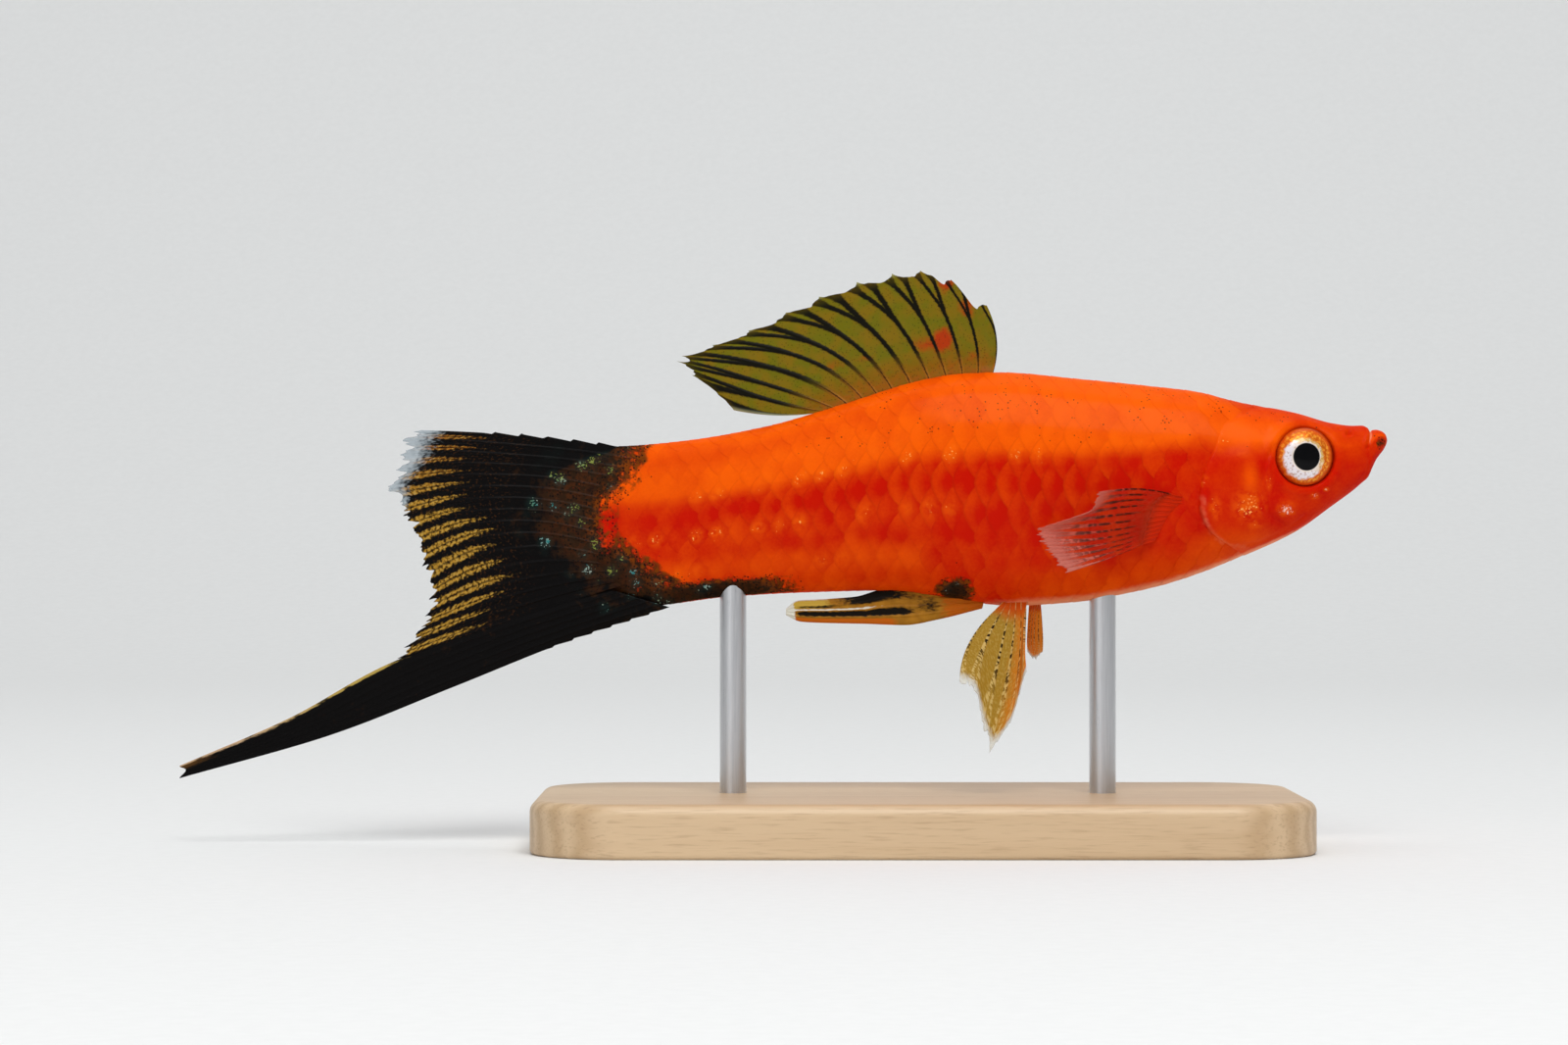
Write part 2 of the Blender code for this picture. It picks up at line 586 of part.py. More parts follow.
def to_fish(made, finish_name):
    """Move an object made by an operator into the fish's collection and give it a finish."""
    for group in list(made.users_collection):
        group.objects.unlink(made)
    FISH.objects.link(made)
    made.data.materials.append(finish(finish_name))


def build_eyes():
    """The two eyes in their sockets."""
    eye_ball("eye_right", -1, 0.0, FISH, "eye")
    eye_ball("eye_left", 1, 0.0, FISH, "eye")


for old in list(bpy.data.objects):
    bpy.data.objects.remove(old)
FISH = collection("swordtail")
CUTTERS = collection("cutters")
grown = build_body()
build_eyes()
build_fins(grown)
build_stand(grown)
for item in FISH.objects:
    print(item.name, len(item.data.polygons), "faces")
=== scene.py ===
# %% [markdown]
# # A red swordtail as a museum model
# The object is a life-size male swordtail, an aquarium fish of about nine centimetres with its
# sword. It swims over a small wooden base on two steel rods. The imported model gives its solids.
# They stay hidden under thinner and finer surfaces, which this script works out with numpy.
# Every shape below is a function of two parameters, computed as whole arrays.

import bpy
import numpy as np
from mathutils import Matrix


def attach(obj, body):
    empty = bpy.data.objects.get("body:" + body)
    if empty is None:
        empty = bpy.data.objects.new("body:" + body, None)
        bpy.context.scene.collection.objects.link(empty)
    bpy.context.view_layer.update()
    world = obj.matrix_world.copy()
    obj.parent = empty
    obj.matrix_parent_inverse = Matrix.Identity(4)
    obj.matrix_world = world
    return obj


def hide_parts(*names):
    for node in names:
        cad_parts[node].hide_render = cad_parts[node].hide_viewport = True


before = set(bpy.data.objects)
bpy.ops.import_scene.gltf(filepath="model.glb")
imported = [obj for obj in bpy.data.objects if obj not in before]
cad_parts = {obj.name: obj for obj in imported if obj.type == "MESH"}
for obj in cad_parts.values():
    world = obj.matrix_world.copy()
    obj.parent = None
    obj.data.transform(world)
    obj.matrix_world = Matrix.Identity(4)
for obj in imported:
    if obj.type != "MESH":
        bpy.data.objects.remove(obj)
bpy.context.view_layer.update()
print("nodes:", ", ".join(sorted(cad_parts)))

# %% [markdown]
# ## Camera
# The photograph was taken level with the fish, from its right side and with a long lens. A macro
# lens of 105 mm at about 35 cm gives the same flat view. The fish's plane is 118.4 mm wide in
# the picture, and the camera's height puts the fish above the middle of the frame.

# %% Camera
MM = 0.001
SENSOR = 36.0
LENS = 105.0
WIDTH_AT_FISH = 118.4
AIM_X, AIM_Z = 0.15, 24.4

camera_data = bpy.data.cameras.new("camera")
camera_data.lens = LENS
camera_data.sensor_width = SENSOR
camera_data.clip_start = 0.01
camera_data.clip_end = 10.0
camera = bpy.data.objects.new("camera", camera_data)
camera_distance = WIDTH_AT_FISH * LENS / SENSOR
camera.location = (AIM_X * MM, -camera_distance * MM, AIM_Z * MM)
camera.rotation_euler = (np.pi / 2, 0, 0)
bpy.context.scene.collection.objects.link(camera)
bpy.context.scene.camera = camera
print(f"camera {camera_distance:.0f} mm from the fish's middle plane")

# %% [markdown]
# ## Curves and places
# A fish is easiest to describe by how far a point lies behind its snout (back), how far above
# the corner of its mouth (up) and how far to its left (out), all in millimetres. Profiles are
# short lists of measured points with a smooth curve through them. The curve never overshoots
# its points, so a flat stretch of the back stays flat.

# %% Curves and places
SNOUT_X = 45.7
MOUTH_Z = 30.5
SWAY = 1.6
SWAY_FROM = 25.0
TOTAL_LENGTH = 91.4


def smooth(points, at):
    """Curve through (x, y) points: cubic pieces whose slope at each point is the harmonic mean
    of the slopes on its two sides, or 0 where they have opposite signs."""
    x, y = np.array(points, dtype=float).T
    step = np.diff(x)
    rise = np.diff(y) / step
    product = rise[:-1] * rise[1:]
    total = np.where(product > 0, rise[:-1] + rise[1:], 1.0)
    slope = np.concatenate([rise[:1], np.where(product > 0, 2 * product / total, 0.0), rise[-1:]])
    at = np.asarray(at, dtype=float)
    k = np.clip(np.searchsorted(x, at) - 1, 0, len(step) - 1)
    t = np.clip((at - x[k]) / step[k], 0, 1)
    start = (1 + 2 * t) * (1 - t) ** 2 * y[k] + t * (1 - t) ** 2 * step[k] * slope[k]
    end = t ** 2 * (3 - 2 * t) * y[k + 1] + t ** 2 * (t - 1) * step[k] * slope[k + 1]
    return start + end


def smooth_path(points, shares):
    """Path through (back, up) points, at shares 0 to 1 of their count."""
    knots = np.linspace(0, 1, len(points))
    return np.stack([smooth(list(zip(knots, axis)), shares) for axis in zip(*points)], axis=-1)


def ramp(value, low, high):
    """0 at low, 1 at high and 3t² - 2t³ between; low may be the larger of the two."""
    t = np.clip((value - low) / (high - low), 0, 1)
    return t * t * (3 - 2 * t)


def hill(value, centre, width):
    """Bell shape: e to the power of minus the squared distance from the centre in widths."""
    return np.exp(-((value - centre) / width) ** 2)


def oval(back, up, at_back, at_up, length, height):
    """Bell-shaped oval on the side view: a hill over the distance from its middle, in which back
    counts in its half length and up in its half height."""
    return hill(np.hypot((back - at_back) / length, (up - at_up) / height), 0, 1)


def wobble(at, step, seed):
    """Smooth random curve between -1 and 1: seeded numbers a step apart, eased into each other."""
    at = np.asarray(at, dtype=float) / step
    cell = np.floor(at).astype(int)
    numbers = np.random.default_rng(seed).uniform(-1, 1, 4096)
    t = at - cell
    t = t * t * (3 - 2 * t)
    return numbers[cell % 4096] * (1 - t) + numbers[(cell + 1) % 4096] * t


def placed(back, up, out):
    """Point in metres: x is the snout's place less back, y is out plus the tail's sway, which
    grows with the square of the distance behind the fins' start, and z is up from the mouth."""
    back, up, out = np.broadcast_arrays(back, up, out)
    bend = SWAY * (np.maximum(back - SWAY_FROM, 0) / (TOTAL_LENGTH - SWAY_FROM)) ** 2
    return np.stack([SNOUT_X - back, out + bend, MOUTH_Z + up], axis=-1) * MM


# %% [markdown]
# ## Building a mesh from arrays
# A piece is a set of points and sets of faces. All its arrays go into the mesh with foreach_set,
# which is far quicker than adding faces one by one. The volume that the faces enclose has a
# sign: where it is negative, the faces look inwards and are all turned round. Each piece also
# gets marks, a colour of four masks on every point, which the materials turn into pigment.

# %% Building a mesh from arrays
def grid_faces(rows, columns, wrap=False, first=0):
    """Quads between neighbouring points of a grid; with wrap, the last column meets the first."""
    r, c = np.meshgrid(np.arange(rows - 1), np.arange(columns - (not wrap)), indexing="ij")
    a = first + r * columns + c
    b = first + r * columns + (c + 1) % columns
    return np.stack([a, b, b + columns, a + columns], -1).reshape(-1, 4)


def grid_corners(rows, columns, wrap=False, u=(0.0, 1.0), v=(0.0, 1.0)):
    """Corners of those quads on a flat map: v runs along the rows, u along the columns."""
    count = columns - (not wrap)
    r, c = np.meshgrid(np.arange(rows - 1), np.arange(count), indexing="ij")
    across = np.stack([c, c + 1, c + 1, c], -1) / count
    along = np.stack([r, r, r + 1, r + 1], -1) / (rows - 1)
    return np.stack([u[0] + (u[1] - u[0]) * across, v[0] + (v[1] - v[0]) * along], -1).reshape(-1, 4, 2)


def enclosed(points, faces):
    """Six times the signed volume in a closed mesh: the sum over triangles of a · (b × c)."""
    total = 0.0
    for corners in faces:
        a = points[corners[:, 0]]
        for k in range(1, corners.shape[1] - 1):
            total += np.sum(a * np.cross(points[corners[:, k]], points[corners[:, k + 1]]))
    return total


def add_piece(name, points, faces, material, maps=None, point_maps=None, marks=None, sharp=None):
    """Object of points in metres and sets of faces. Maps give a set of corners for each set of
    faces, point maps a place for each point, and marks four masks for each point."""
    maps = dict(maps or {})
    if enclosed(points, faces) < 0:
        faces = [corners[:, ::-1] for corners in faces]
        maps = {label: [c[:, ::-1] for c in sets] for label, sets in maps.items()}
    corner_points = np.concatenate([corners.ravel() for corners in faces])
    counts = np.concatenate([np.full(len(corners), corners.shape[1]) for corners in faces])
    mesh = bpy.data.meshes.new(name)
    mesh.vertices.add(len(points))
    mesh.vertices.foreach_set("co", points.astype(np.float32).ravel())
    mesh.loops.add(len(corner_points))
    mesh.loops.foreach_set("vertex_index", corner_points.astype(np.int32))
    mesh.polygons.add(len(counts))
    mesh.polygons.foreach_set("loop_start", np.concatenate([[0], np.cumsum(counts)[:-1]]).astype(np.int32))
    mesh.update(calc_edges=True)
    places = {label: np.concatenate([c.reshape(-1, 2) for c in sets]) for label, sets in maps.items()}
    places.update({label: place[corner_points] for label, place in (point_maps or {}).items()})
    for label, place in places.items():
        mesh.uv_layers.new(name=label).uv.foreach_set("vector", place.astype(np.float32).ravel())
    if marks is not None:
        layer = mesh.color_attributes.new("marks", "FLOAT_COLOR", "POINT")
        layer.data.foreach_set("color", np.clip(marks, 0, 1).astype(np.float32).ravel())
    mesh.shade_smooth()
    if sharp:
        mesh.set_sharp_from_angle(angle=np.radians(sharp))
    mesh.materials.append(material)
    piece = bpy.data.objects.new(name, mesh)
    bpy.context.scene.collection.objects.link(piece)
    print(f"{name}: {len(points)} points, {int(np.sum(counts - 2))} triangles")
    return piece


def add_tube(name, rings, poles, material, levels=None, **extras):
    """Closed surface over rings of points, shut at each end by a fan of triangles to a pole. On
    its map the rings lie at levels between 0.02 and 0.98."""
    rows, columns = rings.shape[:2]
    levels = np.linspace(0.02, 0.98, rows) if levels is None else levels
    points = np.concatenate([rings.reshape(-1, 3), poles])
    j = np.arange(columns)
    after = (j + 1) % columns
    last = (rows - 1) * columns
    faces = [grid_faces(rows, columns, wrap=True),
             np.stack([np.full(columns, rows * columns), after, j], -1),
             np.stack([np.full(columns, rows * columns + 1), last + j, last + after], -1)]
    walls = grid_corners(rows, columns, wrap=True)
    walls[..., 1] = np.interp(walls[..., 1], np.linspace(0, 1, rows), levels)
    across = np.stack([j + 0.5, j + 1, j], -1) / columns
    ends = [np.stack([across, np.tile([0.0, levels[0], levels[0]], (columns, 1))], -1),
            np.stack([across[:, [0, 2, 1]], np.tile([1.0, levels[-1], levels[-1]], (columns, 1))], -1)]
    return add_piece(name, points, faces, material, {"OFBake": [walls, *ends]}, **extras)


def with_poles(values):
    """Values on rings as one list of points, with the first and last ring's mean for the poles."""
    flat = values.reshape(-1, values.shape[-1])
    return np.concatenate([flat, values[0].mean(0)[None], values[-1].mean(0)[None]])


# %% [markdown]
# ## Wiring materials
# Materials are node trees. A signal is what flows out of a node, and signals add, subtract and
# multiply like numbers: each sign puts a math node into their tree. So a material reads like a
# formula, and its colour like a list of coats, each laid over the ones before through a mask.

# %% Wiring materials
SOCKET_KINDS = {"Place": "Vector", "Marks": "Color", "Color": "Color"}


class Signal:
    """Output of a node, with arithmetic that adds math nodes to its tree."""

    def __init__(self, socket):
        self.socket = socket

    def __add__(self, other):
        return math("ADD", self, other)

    def __radd__(self, other):
        return math("ADD", other, self)

    def __sub__(self, other):
        return math("SUBTRACT", self, other)

    def __rsub__(self, other):
        return math("SUBTRACT", other, self)

    def __mul__(self, other):
        return math("MULTIPLY", self, other)


def connect(socket, value):
    """Link a signal to an input, or give the input a plain number, vector or colour."""
    if isinstance(value, Signal):
        socket.id_data.links.new(value.socket, socket)
    else:
        socket.default_value = (*value, 1.0) if socket.type == "RGBA" else value


def node(kind, inputs, tree=None, **settings):
    """New node in the given tree, or in that of its first signal. Its outputs come back as
    signals, under their numbers and their names."""
    tree = tree or next(v.socket.id_data for v in inputs.values() if isinstance(v, Signal))
    made = tree.nodes.new(kind)
    for label, value in settings.items():
        setattr(made, label, value)
    for label, value in inputs.items():
        connect(made.inputs[label], value)
    return {key: Signal(o) for k, o in enumerate(made.outputs) for key in (k, o.name)}


def math(operation, a, b=0.0, clamp=False):
    return node("ShaderNodeMath", {0: a, 1: b}, operation=operation, use_clamp=clamp)[0]


def vector(operation, a, b=(0.0, 0.0, 0.0)):
    return node("ShaderNodeVectorMath", {0: a, 1: b}, operation=operation)


def stretch(place, scale):
    """Place with each of its axes multiplied."""
    return vector("MULTIPLY", place, scale)[0]


def step(value, low, high):
    """0 at low, 1 at high, smooth between."""
    return node("ShaderNodeMapRange", {"Value": value, "From Min": low, "From Max": high},
                interpolation_type="SMOOTHSTEP")["Result"]


def noise(place, scale, detail):
    return node("ShaderNodeTexNoise", {"Vector": place, "Scale": scale, "Detail": detail})[0]


def mix(factor, a, b):
    return node("ShaderNodeMix", {0: factor, 6: a, 7: b}, data_type="RGBA")[2]


def coats(colour, *layers):
    """Colour under coats, each a mask and a colour; the later ones lie on top."""
    for mask, coat in layers:
        colour = mix(mask, colour, coat)
    return colour


def channels(colour):
    parts = node("ShaderNodeSeparateColor", {0: colour})
    return parts[0], parts[1], parts[2]


def bumped(height, strength, depth=0.00006):
    """Normal that a height of so many metres gives."""
    return node("ShaderNodeBump", {"Height": height, "Strength": strength, "Distance": depth})[0]


def wire(target, **values):
    """Connect a node's inputs, whose names are written with underscores for spaces."""
    for label, value in values.items():
        connect(target.inputs[label.replace("_", " ").title().replace("Ior", "IOR")], value)


def new_group(name, takes, gives):
    """Empty node group: its tree, its inputs as signals and the node that takes its outputs."""
    tree = bpy.data.node_groups.new(name, "ShaderNodeTree")
    for direction, labels in (("INPUT", takes), ("OUTPUT", gives)):
        for label in labels.split():
            kind = "NodeSocket" + SOCKET_KINDS.get(label, "Float")
            tree.interface.new_socket(label, in_out=direction, socket_type=kind)
    start, end = tree.nodes.new("NodeGroupInput"), tree.nodes.new("NodeGroupOutput")
    return tree, [Signal(start.outputs[label]) for label in takes.split()], end


def use(group, **inputs):
    return node("ShaderNodeGroup", inputs, node_tree=group)


def new_material(name, **values):
    """Material and its Principled shader, with the shader's plain inputs set from values."""
    material = bpy.data.materials.new(name)
    material.use_nodes = True
    shader = material.node_tree.nodes["Principled BSDF"]
    wire(shader, **values)
    return material, shader


def place_in_mm(tree):
    """Object coordinates in millimetres."""
    return stretch(node("ShaderNodeTexCoord", {}, tree)["Object"], (1000.0, 1000.0, 1000.0))


# %% [markdown]
# Three effects serve several materials. Flecks are dots in some of the cells of a pattern, each
# with a tone of its own. Glitter is a fine grain that lights up where its amount is high. The
# dark tail turns from the body's colour through mottled brown to black, with black dots at its
# start and nests of teal and greenish sparks in the brown.

# %% Shared effects: flecks, glitter and the dark tail
flecks, (amount, place, scale), gives = new_group("flecks", "Amount Place Scale", "Mask Tone")
cell = node("ShaderNodeTexVoronoi", {"Vector": place, "Scale": scale})
chance, own_tone = channels(cell["Color"])[:2]
chosen = math("LESS_THAN", chance, amount)
wire(gives, mask=chosen * step(cell["Distance"], 0.5, 0.25), tone=own_tone)

glitter, (amount, place), gives = new_group("glitter", "Amount Place", "Mask Tone")
lit = step(noise(place, 5.5, 2.0) + amount * 0.3, 0.78, 0.85)
wire(gives, mask=lit * step(amount, 0.0, 0.1), tone=step(noise(place, 2.2, 1.0), 0.35, 0.65))

BLACK = (0.0035, 0.003, 0.003)
TEAL, PALE_TEAL, GREENISH = (0.03, 0.2, 0.2), (0.34, 0.42, 0.36), (0.22, 0.26, 0.05)
tail_shade, (base, dark, place), gives = new_group("tail_shade", "Color Dark Place", "Color")
grain = noise(place, 2.6, 4.0)
shift = (noise(place, 0.5, 3.0) - 0.5) * 0.9 + (grain - 0.5) * 0.9
level = dark + shift * step(dark, 0.0, 0.2)
rust = mix(step(dark, 0.3, 0.52), (0.18, 0.038, 0.002), (0.045, 0.015, 0.004))
brown = mix(step(grain, 0.42, 0.64), (0.016, 0.01, 0.004), rust)
edges = step(dark, 0.0, 0.25) * step(dark, 0.95, 0.6)
dots = use(flecks, Amount=edges * 0.4, Place=place, Scale=5.0)["Mask"]
nest = node("ShaderNodeTexVoronoi", {"Vector": stretch(place, (1.0, 0.0, 1.0)), "Scale": 0.75})
core = step(nest["Distance"], 0.62, 0.1) * step(dark, 0.2, 0.45) * step(dark, 1.0, 0.8)
sparks = use(glitter, Amount=core * 0.95, Place=place)
spark_tone = mix(sparks["Tone"], TEAL, PALE_TEAL)
spark_tone = mix(step(noise(place, 0.25, 1.0), 0.45, 0.55), spark_tone, GREENISH)
wire(gives, color=coats(base,
                        (step(level, 0.02, 0.28) * 0.985, brown),
                        (step(level, 0.5, 0.86), BLACK),
                        (dots * 0.9, BLACK),
                        (core * 0.3, (0.012, 0.04, 0.035)),
                        (sparks["Mask"] * 0.9, spark_tone)))
print("shared effects:", ", ".join(group.name for group in bpy.data.node_groups))

# %% [markdown]
# ## The body's form
# A swordtail is deep and narrow: its cross-section is an upright egg, a little squarer than an
# ellipse. The section is carried along the profile of back and belly, as a loft. Points are
# spread round each section by the length of its skin and not by angle, so that the flanks, which
# are nearly flat, get as many points as they need.

# %% The body's form
BACK_LINE = [(0, 0.05), (0.05, 0.35), (0.16, 0.58), (0.4, 0.79), (0.85, 0.92), (1.3, 0.88), (1.55, 1.1),
             (1.95, 1.24), (2.6, 1.22), (4.1, 1.4), (7.0, 2.2), (11.5, 3.1), (14.5, 3.85), (17.4, 4.2),
             (23.3, 4.8), (29.3, 5.3), (32.2, 5.2), (35.2, 4.7), (41.1, 2.9), (47.0, 1.2),
             (53.0, 0.15), (57.5, -0.25), (62.0, -0.4)]
BELLY_LINE = [(0, 0.05), (0.05, -0.13), (0.12, -0.3), (0.28, -0.6), (0.85, -1.38), (1.15, -2.0),
              (1.5, -2.75), (1.9, -3.1), (2.6, -3.7), (4.1, -4.8), (7.1, -6.9), (11.5, -8.9), (14.5, -10.1),
              (17.4, -11.0), (20.4, -11.65), (23.3, -12.15), (28.5, -12.45), (33.0, -11.9),
              (37.4, -11.3), (44.0, -11.45), (50.0, -11.8), (56.0, -12.5), (62.0, -12.6)]
HALF_WIDTH = [(0, 0.05), (0.15, 0.55), (0.5, 0.95), (1.1, 1.15), (1.9, 1.4), (3.4, 1.95), (5.6, 2.55),
              (8.5, 3.2), (11.5, 3.7), (14.5, 4.05), (18.0, 4.3), (23.0, 4.3), (30.7, 3.95),
              (39.6, 3.05), (48.5, 2.15), (52.9, 1.65), (55.9, 1.3), (58.9, 0.95), (62.0, 0.7)]
SQUARENESS = [(0, 2.0), (6, 2.3), (14, 2.2), (30, 2.1), (62, 2.0)]
WIDEST_LEVEL = 0.52
GILL_SEAM = [(11.4, 5.6), (12.2, 3.3), (13.1, 0.0), (14.2, -2.6), (14.5, -4.6), (13.9, -6.4),
             (12.2, -7.8), (9.7, -9.3), (7.0, -11.1)]
CAUDAL_SEAM = [(55.6, 1.6), (57.4, -0.1), (59.5, -2.1), (60.5, -4.8), (60.6, -7.8), (59.2, -10.4),
               (56.3, -12.0), (54.1, -12.6), (52.4, -14.0)]
ROWS_AROUND = 22
TAPER_LENGTH = 4.5
TAPER_LEFT = 0.12


def section(back):
    """Widest level, reach up, reach down, half width and squareness of the body at a distance back."""
    top, bottom = smooth(BACK_LINE, back), smooth(BELLY_LINE, back)
    level = bottom + WIDEST_LEVEL * (top - bottom)
    return level, top - level, level - bottom, smooth(HALF_WIDTH, back), smooth(SQUARENESS, back)


def flank(back, up):
    """How far the body's side lies from its middle plane at a height."""
    level, above, below, width, power = section(back)
    height = np.where(up > level, (up - level) / above, (level - up) / below)
    return width * (1 - np.clip(height, 0, 1) ** power) ** (1 / power)


def seam_at(seam, up):
    """How far back a seam lies at a height."""
    return smooth(sorted((u, b) for b, u in seam), up)


ANGLES = np.linspace(0, 2 * np.pi, 1441)
PACE = np.sqrt(np.sin(ANGLES) ** 2 + 0.25 * np.cos(ANGLES) ** 2)
TRAVEL = np.concatenate([[0.0], np.cumsum((PACE[1:] + PACE[:-1]) / 2)])


def around(turn):
    """Angle from the top for a share of the way round by the left, along an ellipse twice as
    high as it is wide."""
    return np.interp(np.asarray(turn) % 1.0, TRAVEL / TRAVEL[-1], ANGLES)


def flesh(back, turn, lift=0.0):
    """Out and up of a point on the body. The section is a superellipse: sine and cosine of the
    angle to the power of 2 / squareness, times half width and reach. The lift goes along the
    section's own normal. Towards the tail fin the width shrinks like a rounded wedge."""
    back, turn, lift = np.broadcast_arrays(back, turn, lift)
    level, above, below, width, power = section(back)
    angle = around(turn)
    sine, cosine = np.sin(angle), np.cos(angle)
    reach = np.where(cosine > 0, above, below)
    out = width * np.sign(sine) * np.abs(sine) ** (2 / power)
    up = level + reach * np.sign(cosine) * np.abs(cosine) ** (2 / power)
    leans_out = np.sign(sine) * np.abs(sine) ** (2 - 2 / power) / width
    leans_up = np.sign(cosine) * np.abs(cosine) ** (2 - 2 / power) / reach
    size = np.hypot(leans_out, leans_up)
    left = np.clip((seam_at(CAUDAL_SEAM, up) - back) / TAPER_LENGTH, 0, 1)
    wedge = TAPER_LEFT + (1 - TAPER_LEFT) * np.sqrt(1 - (1 - left) ** 2)
    return (out + lift * leans_out / size) * wedge, up + lift * leans_up / size


def row_of(turn):
    """Scale row counted from the back's midline (0) to the belly's (11), on either side."""
    turn = np.asarray(turn) % 1.0
    return ROWS_AROUND * np.minimum(turn, 1 - turn)


# %% [markdown]
# ## The face
# The head carries the relief that tells a livebearer from other fish: a small mouth that opens
# upwards with the lower jaw in front, a nostril before the eye, the eye's raised rim, the cheek
# and the gill cover, whose rear edge stands free. Each is a height added to the plain form,
# written as a hill, a groove or a step in the side view.

# %% The face
EYE_AT = (6.5, -1.18)
SOCKET_RADIUS = 2.26
MOUTH_LINE = [(1.25, 2.2), (1.3, 0.9), (1.36, 0.4), (1.55, -0.1), (1.62, -0.45)]
NOSTRILS = [(3.05, 0.62, 0.19, 0.26), (3.75, 0.95, 0.1, 0.14)]
SKIN_DEPTH = 0.13
HEAD_DEPTH = 0.02


def near_path(path, back, up, steps=40):
    """Distance from points to a smooth path through (back, up) points."""
    line = smooth_path(path, np.linspace(0, 1, steps))
    best = np.full(np.shape(back), 99.0)
    for start, end in zip(line[:-1], line[1:]):
        run = end - start
        t = np.clip(((back - start[0]) * run[0] + (up - start[1]) * run[1]) / np.sum(run ** 2), 0, 1)
        best = np.minimum(best, np.hypot(back - start[0] - t * run[0], up - start[1] - t * run[1]))
    return best


def scales_from(back, up, row):
    """How far behind the front of the scaled part a point lies: the gill cover's free edge on the
    flanks, and a line that runs forward to the eyes' level over the nape."""
    return back - np.minimum(seam_at(GILL_SEAM, up), 8.4 + 1.4 * row)


BRANCHIAL_LINE = [(6.4, -5.6), (8.0, -6.75), (10.0, -7.6), (11.6, -7.85)]
PRE_GILL_LINE = [(8.9, -0.4), (9.6, -1.9), (9.75, -3.6), (9.3, -5.4), (8.0, -6.4)]
JAW_LINE = [(1.62, -0.45), (1.5, -1.2), (1.6, -2.1), (2.1, -3.0)]


def face_height(back, up, sideways):
    """Relief of the head, weighted by how far a point faces sideways."""
    eye = np.hypot(back - EYE_AT[0], up - EYE_AT[1])
    gill = np.hypot((back - 11.2) / np.where(back < 11.2, 3.4, 5.0), (up + 4.1) / 4.4)
    cheek = np.hypot((back - 7.8) / 1.5, (up + 5.0) / 1.3)
    slit = near_path(MOUTH_LINE, back, up)
    height = (0.22 * ramp(gill, 1.0, 0.55) * ramp(up, 1.2, -2.2)
              + 0.13 * ramp(cheek, 1.0, 0.2)
              + 0.15 * hill(eye, 2.72, 0.42)
              - 0.10 * hill(near_path(PRE_GILL_LINE, back, up), 0, 0.2)
              - 0.07 * hill(near_path(BRANCHIAL_LINE, back, up), 0, 0.14)
              - 0.04 * hill(near_path(JAW_LINE, back, up), 0, 0.16)
              - 0.95 * ramp(eye, SOCKET_RADIUS + 0.1, SOCKET_RADIUS - 0.12)
              + 0.07 * hill(slit, 0.26, 0.16) * ramp(up, -0.8, -0.3)
              + 0.25 * hill(np.hypot(back - 15.6, up + 5.6), 0, 1.4))
    for at_back, at_up, size, depth in NOSTRILS:
        pit = np.hypot(back - at_back, up - at_up)
        height += 0.06 * hill(pit, 1.9 * size, 0.5 * size) - depth * hill(pit, 0, size)
    return height * ramp(sideways, 0.25, 0.7) - 0.13 * hill(slit, 0, 0.1)


# %% [markdown]
# ## Colour marks
# The pattern is worked out once, as four masks over the body: red, gold, black and pale. The pale
# mask also holds a painted highlight along the belly's lower edge, and the red mask is lowered on
# the front of the belly, partly as painted light for its weakly lit underside. Skin and scales read
# it with the same function, so that colour runs on from one to the other. Heights on the flank
# count in scale rows from the back, because the fish's stripes follow its scales.

# %% Colour marks
RED_TOP = [(0, 3.0), (8, 3.6), (15, 3.8), (22, 4.2), (30, 4.4), (45, 4.4), (62, 4.25)]
RED_END = [(0, 11), (28, 11), (33, 8.8), (36, 8.0), (45, 7.4), (62, 7.2)]
BLACK_EDGE = [(-13.5, 53.4), (-11.1, 54.8), (-9.8, 56.6), (-8.1, 58.6), (-6.7, 60.0), (-5.7, 60.2),
              (-3.4, 58.9), (-0.25, 57.4), (1.0, 56.8)]
SHINY_PATCHES = [
    (10.9, -4.8, 1.5, 1.4, 0.95, 0.0), (13.35, -5.0, 0.6, 1.1, 0.7, 0.1),
    (10.3, -6.1, 0.9, 0.6, 0.6, 0.0), (9.3, -3.0, 0.3, 0.8, 0.7, 0.0), (14.2, -3.0, 0.5, 0.5, 0.7, 0.2),
    (17.0, -2.8, 0.6, 0.4, 0.5, 0.0), (7.9, -5.1, 0.9, 0.7, 1.0, 0.48), (5.7, -4.1, 0.45, 0.3, 1.0, 0.4),
    (4.85, -3.6, 0.3, 0.2, 0.9, 0.3), (11.2, -1.0, 0.6, 0.3, 0.5, 0.0), (12.9, -0.2, 1.0, 0.9, 0.35, 0.0),
    (8.9, 1.0, 0.4, 0.3, 0.4, 0.0), (54.6, -10.7, 1.8, 0.8, 0.9, 0.0), (17.5, -5.6, 1.0, 1.2, 0.35, 0.1)]
GILL_CRESCENT = [(14.3, -4.2), (14.2, -5.6), (13.4, -7.0), (12.2, -7.75), (10.7, -8.1)]


def tail_dark(back, up):
    """0 on the orange body, 0.5 where brown has taken over and 1 where the tail is black. The
    upper and lower edges turn black sooner."""
    behind = back - smooth(BLACK_EDGE, up) + 0.4 * wobble(up, 0.7, 7)
    dark = 0.5 * ramp(behind, -3.6, 1.4) + 0.5 * ramp(behind, 2.4, 7.0)
    top = ramp(up + 1.3 + 0.33 * (back - 60), -0.5, 0.4) * ramp(behind, -0.3, 1.0)
    bottom = ramp(up + 11.7 + 0.42 * (back - 57), 0.6, -0.6) * ramp(back, 54.0, 56.5)
    return np.maximum(dark, 0.95 * np.maximum(top, bottom))


